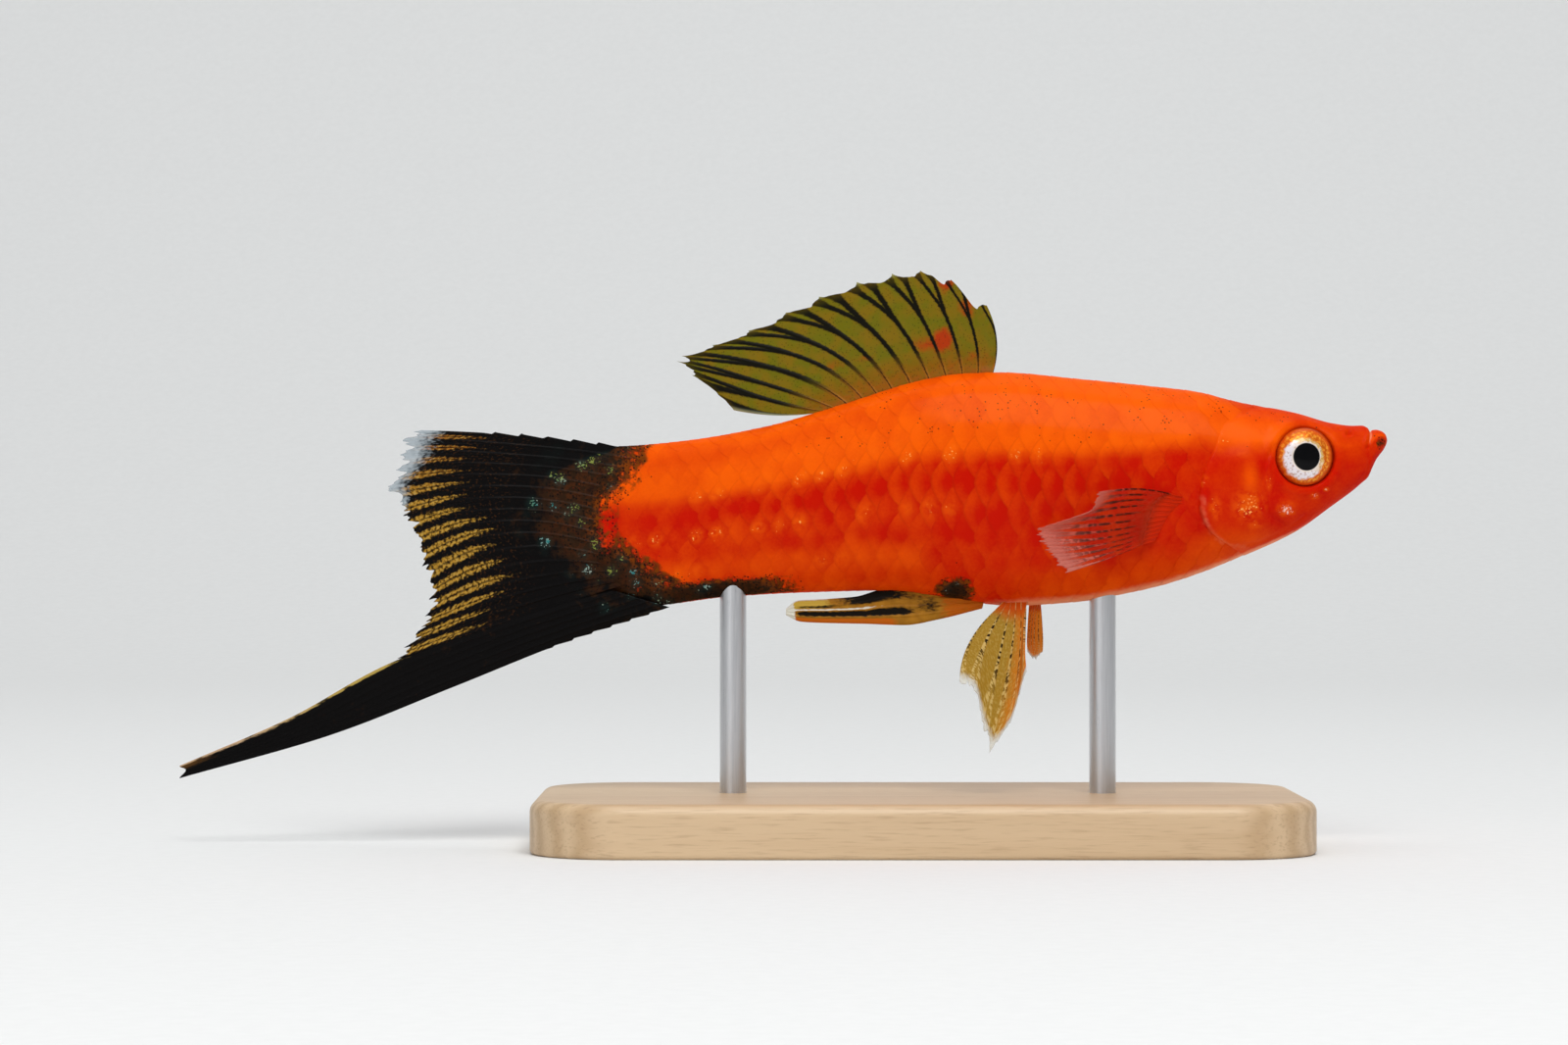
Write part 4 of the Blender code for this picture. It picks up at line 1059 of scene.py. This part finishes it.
fibres = noise(stretch(at, (75.0, 60.0, 1.0)), 1.0, 3.0)
rough_gap = (lines["Grain"] - 0.5) * 0.5
stripe = step(lines["Between"] + rough_gap + gold * 0.52, 0.68, 0.84) * step(gold, 0.1, 0.4)
parting = step(0.5 - lines["Between"] + rough_gap * 0.6, 0.1, 0.02)
across = node("ShaderNodeSeparateXYZ", {0: at})[0]
gilt = coats(mix(step(across, 0.05, 0.45), (0.3, 0.1, 0.008), (0.42, 0.22, 0.025)),
             (step(fibres, 0.5, 0.68), (0.58, 0.37, 0.08)),
             (step(fibres, 0.5, 0.38), (0.05, 0.028, 0.006)))
frost = step(pale + lines["Grain"], 0.75, 1.35)
colour = coats(use(tail_shade, Color=FLESH_TONE, Dark=dark, Place=place)["Color"],
               (stripe * (1.0 - parting * 0.75) * 0.95, gilt),
               (step(fibres, 0.55, 0.7) * streak * 0.35, (0.1, 0.035, 0.008)),
               (frost * 0.85, (0.42, 0.5, 0.55)))
end_fin(shader, place, colour, lines, 1.0 - frost * 0.5)

number, along, flat = fan_grid(CAUDAL, 16, 96, 0.035, 0.05, 31, [(3.4, 0.25, 0.03), (6.6, 0.2, 0.03)])
share = number / (CAUDAL["rays"] - 1)
steps = stairs(along, 8, 0.2) * ramp(share, 0.03, 0.0) * ramp(along, 0.0, 0.08) * ramp(along, 0.7, 0.6)
out = 0.25 * np.sin(6.0 * share) * along ** 2
ridge = hill(ray_gap(number, along, ((0.35, 0.25), (0.65, 0.12))), 0, 0.09)
thickness = 0.09 + 0.14 * ridge * ramp(along, 1.0, 0.5) + 0.03 * ridge + 0.75 * ramp(along, 0.3, -0.1)
begins = 0.38 + 0.07 * wobble(number, 1.0, 9) - 0.06 * ramp(share, 0.2, 0.7)
margin_from = 0.97 - 0.24 * ramp(share, 0.5, 0.15)
caudal_marks = np.stack([
    ramp(along, begins, begins + 0.45) * (0.85 + 0.15 * ramp(share, 0.1, 0.3)),
    ramp(along, 0.3, 0.5) + 0 * share,
    tail_dark(flat[..., 0], flat[..., 1]),
    ramp(along, margin_from, 1.0) * (0.5 + 0.5 * ramp(share, 0.5, 0.3))], -1)
caudal = add_blade("tail_fan", placed(flat[..., 0], flat[..., 1] + steps, out), thickness, caudal_finish,
                   rays_place(number, along, CAUDAL["rays"]), caudal_marks)
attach(caudal, "root")
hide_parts("caudal_fin")

# %% [markdown]
# ## The sword and the spawning fin
# In both fins the rays run lengthwise, side by side between an upper and a lower path. The sword
# is the long black blade that gives the species its name, with a thin golden line on top. The
# spawning fin, which only the male has, points back under the belly.

# %% The sword and the spawning fin
SWORD = {
    "rays": 7,
    "build": (0.3, 0.12, 0.16, 0.6),
    "upper": [(58.9, -11.1), (66.8, -13.6), (75.5, -16.8), (83.0, -20.9), (91.4, -24.55)],
    "lower": [(54.2, -12.5), (62.2, -15.2), (70.7, -18.6), (79.9, -22.2), (91.4, -25.5)],
}
SPAWNING_FIN = {
    "rays": 5,
    "build": (0.5, 0.14, 0.14, 0.5),
    "upper": [(30.4, -11.7), (34.0, -11.3), (37.5, -11.05), (40.2, -11.7), (42.8, -11.9),
              (44.5, -12.0), (45.4, -12.6)],
    "lower": [(30.6, -12.6), (33.8, -13.4), (36.5, -13.85), (39.5, -13.75), (42.0, -13.7),
              (44.2, -13.6), (45.4, -13.1)],
}


def strip_grid(form, columns, rows, tip_notch=0.0):
    """Share across, share along and (back, up) place on a fin between two paths. At the tip the
    middle is drawn in by the notch."""
    across = np.linspace(0, 1, columns)[None, :]
    along = np.linspace(0, 1, rows)[:, None] * (1 - tip_notch * np.sin(np.pi * across) ** 2)
    top, bottom = (smooth_path(form[path], along) for path in ("upper", "lower"))
    across = np.broadcast_to(across, along.shape)
    return across, along, top + (bottom - top) * across[..., None]


def strip_thickness(form, across, along):
    """Film with a bell-shaped ridge on each ray, thicker at the root, thinner at the tip and
    rounded off at both edges by the square root of 1 - (2 across - 1)⁶."""
    film, ridge, ridge_width, tip_loss = form["build"]
    height = film + 0.5 * ramp(along, 0.35, 0.0)
    height = height + ridge * hill(ray_gap((form["rays"] - 1) * across, along, ()), 0, ridge_width)
    rounded = np.sqrt(np.clip(1 - (2 * across - 1) ** 6, 0.02, 1))
    return height * rounded * (1 - tip_loss * ramp(along, 0.8, 1.0))


sword_finish, shader, place, at, (gold, umber, dark, pale), lines = start_fin(
    "sword_film", 7, (1.5, 1.6), 0.16)
grain = noise(stretch(at, (22.0, 60.0, 1.0)), 1.0, 3.0)
gilt = mix(pale, (0.42, 0.29, 0.07), (0.5, 0.33, 0.19))
colour = coats(use(tail_shade, Color=FLESH_TONE, Dark=dark, Place=place)["Color"],
               (step(umber + grain, 0.8, 1.3), (0.10, 0.045, 0.012)),
               (step(gold + grain * 0.7, 0.62, 0.95), gilt))
end_fin(shader, place, colour, lines)

across, along, flat = strip_grid(SWORD, 73, 200, 0.012)
line = ramp(across, 0.1 + 0.16 * ramp(along, 0.6, 0.95), 0.02) * ramp(along, 0.4, 0.55)
sword_marks = np.stack([
    line * (1 - 0.35 * ramp(along, 0.55, 0.7)) * (0.8 + 0.3 * wobble(60 * along, 1.3, 3)),
    0.75 * ramp(along, 0.86, 1.0) * ramp(across, 0.7, 0.2),
    np.maximum(tail_dark(flat[..., 0], flat[..., 1]), 0.8),
    ramp(along, 0.6, 0.9)], -1)
flat[..., 1] += (stairs(along, 22, 0.14) * ramp(across, 0.95, 1.0) * ramp(along, 0.0, 0.04)
                 * ramp(along, 0.32, 0.25))
sword = add_blade("sword_blade", placed(flat[..., 0], flat[..., 1], 0.0),
                  strip_thickness(SWORD, across, along), sword_finish,
                  np.stack([across, along], -1), sword_marks)
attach(sword, "root")
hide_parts("caudal_sword")

spawning_finish, shader, place, at, (gold, orange, ink, pale), lines = start_fin(
    "spawning_film", 5, (1.5, 1.6), 0.14)
soft = noise(stretch(at, (14.0, 40.0, 1.0)), 1.0, 3.0) * 0.8
colour = coats(mix(noise(place, 1.5, 3.0), (0.2, 0.085, 0.008), (0.5, 0.22, 0.02)),
               (step(gold + soft, 0.7, 1.2), (0.52, 0.34, 0.05)),
               (step(orange + soft, 0.7, 1.2), (0.5, 0.11, 0.006)),
               (step(ink + soft, 0.7, 1.1), (0.008, 0.006, 0.004)),
               (step(pale + soft, 0.75, 1.1), (0.68, 0.66, 0.56)))
end_fin(shader, place, colour, lines)

across, along, flat = strip_grid(SPAWNING_FIN, 61, 160)
spawning_marks = np.stack([
    ramp(across, 0.5, 0.25) * ramp(along, 0.55, 0.7),
    ramp(across, 0.74, 0.86) * ramp(along, 0.3, 0.42) + 0.8 * ramp(along, 0.22, 0.1),
    (0.95 * hill(across, 0.62, 0.13) * ramp(along, 0.22, 0.34) * ramp(along, 0.95, 0.8)
     + 0.95 * hill(along, 0.42, 0.17) * ramp(across, 0.42, 0.2)
     + 0.6 * hill(along, 0.2, 0.06) * hill(across, 0.5, 0.3)
     + 0.6 * hill(across, 0.32, 0.08) * ramp(along, 0.55, 0.65) * ramp(along, 0.9, 0.8)),
    (ramp(along, 0.85, 0.93) + 0.75 * hill(across, 0.44, 0.05) * ramp(along, 0.3, 0.5)
     + 0.8 * hill(across, 0.0, 0.05) * ramp(along, 0.6, 0.64))], -1)
spawning = add_blade("spawning_fin", placed(flat[..., 0], flat[..., 1], 0.0),
                     strip_thickness(SPAWNING_FIN, across, along), spawning_finish,
                     np.stack([across, along], -1), spawning_marks)
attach(spawning, "root")
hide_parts("gonopodium")

# %% [markdown]
# ## The paired fins
# The breast fins spread from behind the gill cover, clear and pinkish, with fine dark rays. The
# belly fins hang below, yellow-orange with pale frayed tips. A paired fin leads outwards from
# the body: its distance from the flank grows along the ray and bends back a little.

# %% The paired fins
BREAST_GRID = (14, 64, 0.03, 0.05, 41)
BELLY_GRID = (24, 84, 0.05, 0.06, 51)
PECTORAL = {
    "rays": 12,
    "splay": (0.12, 4.4, 0.9),
    "root": [(16.6, -4.0), (17.0, -4.7), (17.5, -5.7), (17.9, -6.6), (18.3, -7.5)],
    "middle": [(19.6, -3.6), (21.0, -4.9), (21.9, -6.5), (21.8, -7.8), (21.2, -8.7)],
    "edge": [(22.6, -3.9), (22.9, -5.2), (25.1, -6.0), (27.3, -6.7), (26.7, -7.7), (25.9, -8.8),
             (24.9, -9.9)],
}
PELVIC_RIGHT = {
    "rays": 6,
    "splay": (0.9, 2.2, 0.0),
    "root": [(29.3, -12.4), (28.3, -12.4), (27.3, -12.4)],
    "middle": [(31.7, -15.2), (30.7, -15.8), (29.7, -17.5), (28.8, -17.9), (27.9, -17.0), (27.5, -14.8)],
    "edge": [(32.4, -18.4), (31.3, -18.9), (30.7, -21.8), (30.2, -23.4), (28.7, -21.3), (27.4, -17.3)],
}
PELVIC_LEFT = {
    "rays": 6,
    "splay": (0.9, 5.2, 0.0),
    "root": [(27.0, -12.4), (26.5, -12.4), (26.1, -12.4)],
    "middle": [(27.0, -14.7), (26.6, -14.8), (25.8, -14.7)],
    "edge": [(26.8, -16.1), (26.3, -16.7), (25.7, -16.1)],
}
breast_finish, shader, place, at, (ink, rosy, base, pale), lines = start_fin(
    "breast_film", 12, (0.4, 0.75), 0.2, 0.0, 0.16)
joints = step(noise(stretch(at, (14.0, 26.0, 1.0)), 1.0, 1.0), 0.4, 0.52)
dark_lines = lines["Mask"] * ink * joints
light_lines = lines["Mask"] * rosy
margin = step(pale + lines["Grain"] * 0.7, 0.55, 1.3)
colour = coats(mix(margin, (0.5, 0.04, 0.012), (0.56, 0.16, 0.11)),
               (light_lines * 0.8, (0.62, 0.2, 0.16)),
               (base, (0.58, 0.02, 0.001)),
               (dark_lines, (0.02, 0.005, 0.004)))
solid = math("MAXIMUM", math("MAXIMUM", dark_lines * 0.9, base),
             math("MAXIMUM", light_lines * 0.6, margin * 0.38))
end_fin(shader, place, colour, lines, math("ADD", 0.16, solid * 0.84, clamp=True))


def belly_fin_finish(name, rear_tone, front_tone):
    """Film from one tone at the rear to another in front, with dotted rays and frosted tips."""
    material, shader, place, at, (ink, front, base, pale), lines = start_fin(
        name, 6, (0.3, 0.6), 0.12, 0.0, 0.08)
    joints = noise(stretch(at, (18.0, 34.0, 1.0)), 1.0, 1.0)
    frontness = step(front + noise(place, 1.4, 3.0) * 0.5, 0.3, 1.2)
    frost = step(pale + lines["Grain"] * 0.8, 0.6, 1.2)
    colour = coats(mix(frontness, rear_tone, front_tone),
                   (step(lines["Grain"], 0.45, 0.7) * 0.35, (0.62, 0.45, 0.12)),
                   (base, (0.6, 0.07, 0.002)),
                   (lines["Mask"] * step(joints, 0.56, 0.44) * 0.6, (0.75, 0.55, 0.2)),
                   (lines["Mask"] * ink * step(joints, 0.48, 0.56), (0.03, 0.015, 0.004)),
                   (frost, (0.75, 0.74, 0.66)))
    end_fin(shader, place, colour, lines, 0.94 - frost * 0.35)
    return material


# The left belly fin lies in the body's shade, so its tones are painted lighter than the right one's: painted
# light.
belly_finish = {"right": belly_fin_finish("belly_film", (0.36, 0.2, 0.02), (0.66, 0.17, 0.006)),
                "left": belly_fin_finish("belly_film_painted_lighter", (0.85, 0.2, 0.008), (0.9, 0.27, 0.012))}


def add_paired(name, form, side, flanks, grid, finish, marks_of):
    """Paired fin: side times (flank + start + lead t - curl t²) to the left of the middle. Its
    grid says points per ray, rows, notch, fray and seed."""
    number, along, flat = fan_grid(form, *grid)
    share = number / (form["rays"] - 1)
    start, lead, curl = form["splay"]
    out = side * (flanks[0] + (flanks[1] - flanks[0]) * share + start + lead * along - curl * along ** 2)
    ridge = hill(ray_gap(number, along, ((0.4, 0.25), (0.7, 0.12))), 0, 0.09)
    thickness = 0.06 + 0.1 * ridge * ramp(along, 1.0, 0.5) + 0.03 * ridge + 0.4 * ramp(along, 0.1, -0.05)
    fin = add_blade(name, placed(flat[..., 0], flat[..., 1], out), thickness, finish,
                    rays_place(number, along, form["rays"]), np.stack(marks_of(share, along), -1))
    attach(fin, "root")
    return fin


def breast_marks(share, along):
    """Ink on the rays between root and middle and on the whole first ray, rosy rays farther out,
    flesh at the root and a pale margin."""
    first = ramp(share, 0.06, 0.02) * ramp(along, 0.0, 0.08) * ramp(along, 0.75, 0.5)
    ink = ramp(along, 0.16, 0.3) * ramp(along, 0.95, 0.6) * (1 - 0.3 * share)
    return (np.maximum(ink, first), ramp(along, 0.35, 0.7) * (0.4 + 0.6 * share),
            ramp(along, 0.2 - 0.1 * ramp(share, 0.3, 0.0), 0.02), ramp(along, 0.55, 1.0))


def belly_marks(share, along):
    """Ink on the rays near the root, orange in front, flesh at the root and frosted tips."""
    return (ramp(along, 0.05, 0.15) * ramp(along, 0.75, 0.4), ramp(share, 0.4, 1.0),
            ramp(along, 0.14, 0.0), ramp(along, 0.7 + 0.15 * share, 1.0))


breast_flanks = [float(flank(*PECTORAL["root"][k])) for k in (0, -1)]
for label, side in (("right", -1), ("left", 1)):
    fin = add_paired(f"breast_fin_{label}", PECTORAL, side, breast_flanks, BREAST_GRID,
                     breast_finish, breast_marks)
    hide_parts(f"pectoral_fin_{label}")
for label, side, form in (("right", -1, PELVIC_RIGHT), ("left", 1, PELVIC_LEFT)):
    fin = add_paired(f"belly_fin_{label}", form, side, (0.0, 0.0), BELLY_GRID,
                     belly_finish[label], belly_marks)
    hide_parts(f"pelvic_fin_{label}")

# %% [markdown]
# ## The display stand
# The base is a slab of pale maple with rounded corners and eased edges. Its outline is a rounded
# rectangle, and rings of that outline step inwards over the edge. The rods are turned steel that
# runs from the wood into the belly.

# %% The stand's finishes
wood_finish, shader = new_material("maple", coat_weight=0.25, coat_roughness=0.3)
place = place_in_mm(wood_finish.node_tree)
warp = noise(stretch(place, (0.02, 0.09, 0.09)), 1.0, 3.0)
pores = noise(stretch(place, (0.35, 6.0, 6.0)), 1.0, 3.0)
bands = node("ShaderNodeTexWave", {"Vector": stretch(place, (0.012, 0.22, 0.3)), "Scale": 1.0,
                                   "Distortion": 5.0, "Detail": 3.0, "Detail Scale": 1.2},
             wave_type="BANDS", bands_direction="Y")["Fac"]
grain = coats(mix(bands, (0.56, 0.38, 0.21), (0.70, 0.51, 0.31)),
              (warp * 0.4, (0.46, 0.28, 0.14)),
              (step(pores, 0.5, 0.72) * 0.35, (0.34, 0.2, 0.1)))
wire(shader, base_color=grain, roughness=0.42 + pores * 0.2, normal=bumped(pores, 0.3, 0.00005))

steel_finish, shader = new_material("brushed_steel", metallic=1.0)
brushed = noise(stretch(place_in_mm(steel_finish.node_tree), (9.0, 9.0, 0.25)), 1.0, 3.0)
wire(shader, base_color=mix(brushed, (0.5, 0.5, 0.52), (0.74, 0.74, 0.75)),
     roughness=0.2 + brushed * 0.25)

# %% The stand
BASE_LENGTH, BASE_WIDTH, BASE_HEIGHT = 58.0, 30.0, 4.0
BASE_AT_X = 10.4
BASE_CORNER = 7.0
BASE_EDGE = 0.9
UNDER_EDGE = 0.35


def base_ring(inset, height, points=160):
    """Rounded rectangle: a quarter circle round each corner's centre, drawn in by the inset."""
    angle = (np.arange(points) + 0.5) * 2 * np.pi / points
    corner = max(BASE_CORNER - inset, 0.01)
    x = np.sign(np.cos(angle)) * (BASE_LENGTH / 2 - BASE_CORNER) + corner * np.cos(angle)
    y = np.sign(np.sin(angle)) * (BASE_WIDTH / 2 - BASE_CORNER) + corner * np.sin(angle)
    return np.stack([x + BASE_AT_X, y, np.full(points, height)], -1)


bevel = np.linspace(0, np.pi / 2, 9)
rings = [base_ring(inset, 0.0) for inset in (6.8, 4.0, 1.2, UNDER_EDGE)]
rings += [base_ring(UNDER_EDGE * (1 - np.sin(a)), UNDER_EDGE * (1 - np.cos(a))) for a in bevel[1:]]
rings += [base_ring(0.0, h) for h in np.linspace(0.8, BASE_HEIGHT - BASE_EDGE - 0.2, 5)]
rings += [base_ring(BASE_EDGE * (1 - np.cos(a)), BASE_HEIGHT - BASE_EDGE * (1 - np.sin(a))) for a in bevel]
rings += [base_ring(inset, BASE_HEIGHT) for inset in (2.0, 4.0, 6.8)]
poles = np.array([[BASE_AT_X, 0, 0], [BASE_AT_X, 0, BASE_HEIGHT]])
base = add_tube("maple_base", np.array(rings) * MM, poles * MM, wood_finish)
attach(base, "root")
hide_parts("stand_base")

ROD_RADIUS = 1.0
SUNK_IN_WOOD = 0.5
SUNK_IN_BELLY = 1.0
for label, back in (("front", 21.5), ("rear", 49.4)):
    foot = BASE_HEIGHT - SUNK_IN_WOOD
    head = MOUTH_Z + float(smooth(BELLY_LINE, back)) + SUNK_IN_BELLY
    heights = np.linspace(foot, head, 30)
    angle = np.arange(64) * 2 * np.pi / 64
    centre = placed(back, 0.0, 0.0) / MM
    ring = np.stack(np.broadcast_arrays(centre[0] + ROD_RADIUS * np.cos(angle),
                                        centre[1] + ROD_RADIUS * np.sin(angle), heights[:, None]), -1)
    ends = np.array([[centre[0], centre[1], foot], [centre[0], centre[1], head]])
    rod = add_tube(f"steel_rod_{label}", ring * MM, ends * MM, steel_finish, sharp=50)
    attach(rod, "root")
    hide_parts(f"stand_rod_{label}")

# %% [markdown]
# ## Studio
# A pale sheet of paper runs under the model and curves up behind it, as on a photographer's
# table. A large soft light hangs above and in front, a weaker one fills from the camera's side,
# and the world gives an even grey for the rest.

# %% Studio
paper_finish, shader = new_material("paper", roughness=0.9)
fibre = noise(place_in_mm(paper_finish.node_tree), 0.8, 3.0)
wire(shader, base_color=mix(fibre, (0.78, 0.78, 0.77), (0.83, 0.83, 0.82)))
FLOOR_FRONT, FLOOR_REAR, SWEEP, WALL = -1.5, 0.35, 0.35, 1.2
angle = np.linspace(0, np.pi / 2, 24)
profile = np.concatenate([[[FLOOR_FRONT, 0.0]],
                          np.stack([FLOOR_REAR + SWEEP * np.sin(angle), SWEEP * (1 - np.cos(angle))], -1),
                          [[FLOOR_REAR + SWEEP, WALL]]])
xs = np.array([-2.0, 2.0])
sheet = np.stack(np.broadcast_arrays(xs[None, :], profile[:, :1], profile[:, 1:]), -1)
mesh = bpy.data.meshes.new("paper_sweep")
mesh.from_pydata(sheet.reshape(-1, 3).tolist(), [], grid_faces(len(profile), 2)[:, ::-1].tolist())
mesh.shade_smooth()
mesh.materials.append(paper_finish)
paper = bpy.data.objects.new("paper_sweep", mesh)
bpy.context.scene.collection.objects.link(paper)


def add_light(name, place, aim, size, power):
    """Square area light at a place, turned towards its aim."""
    data = bpy.data.lights.new(name, "AREA")
    data.size, data.energy = size, power
    light = bpy.data.objects.new(name, data)
    light.location = place
    direction = np.array(aim) - np.array(place)
    light.rotation_euler = (np.arctan2(np.hypot(*direction[:2]), -direction[2]), 0.0,
                            np.arctan2(direction[1], direction[0]) - np.pi / 2)
    bpy.context.scene.collection.objects.link(light)


AIM = (0.0, 0.0, 0.025)
add_light("key_light", (0.08, -0.42, 0.55), AIM, 0.4, 3.2)
add_light("fill_light", (-0.35, -0.6, 0.2), AIM, 0.5, 0.5)
add_light("backdrop_light", (0.0, 0.25, 1.1), (0.0, 0.75, 0.25), 0.8, 4.0)
world = bpy.data.worlds.new("studio")
world.use_nodes = True
world.node_tree.nodes["Background"].inputs["Color"].default_value = (0.9, 0.95, 1.0, 1.0)
world.node_tree.nodes["Background"].inputs["Strength"].default_value = 0.3
bpy.context.scene.world = world
bpy.context.scene.view_settings.view_transform = "Standard"
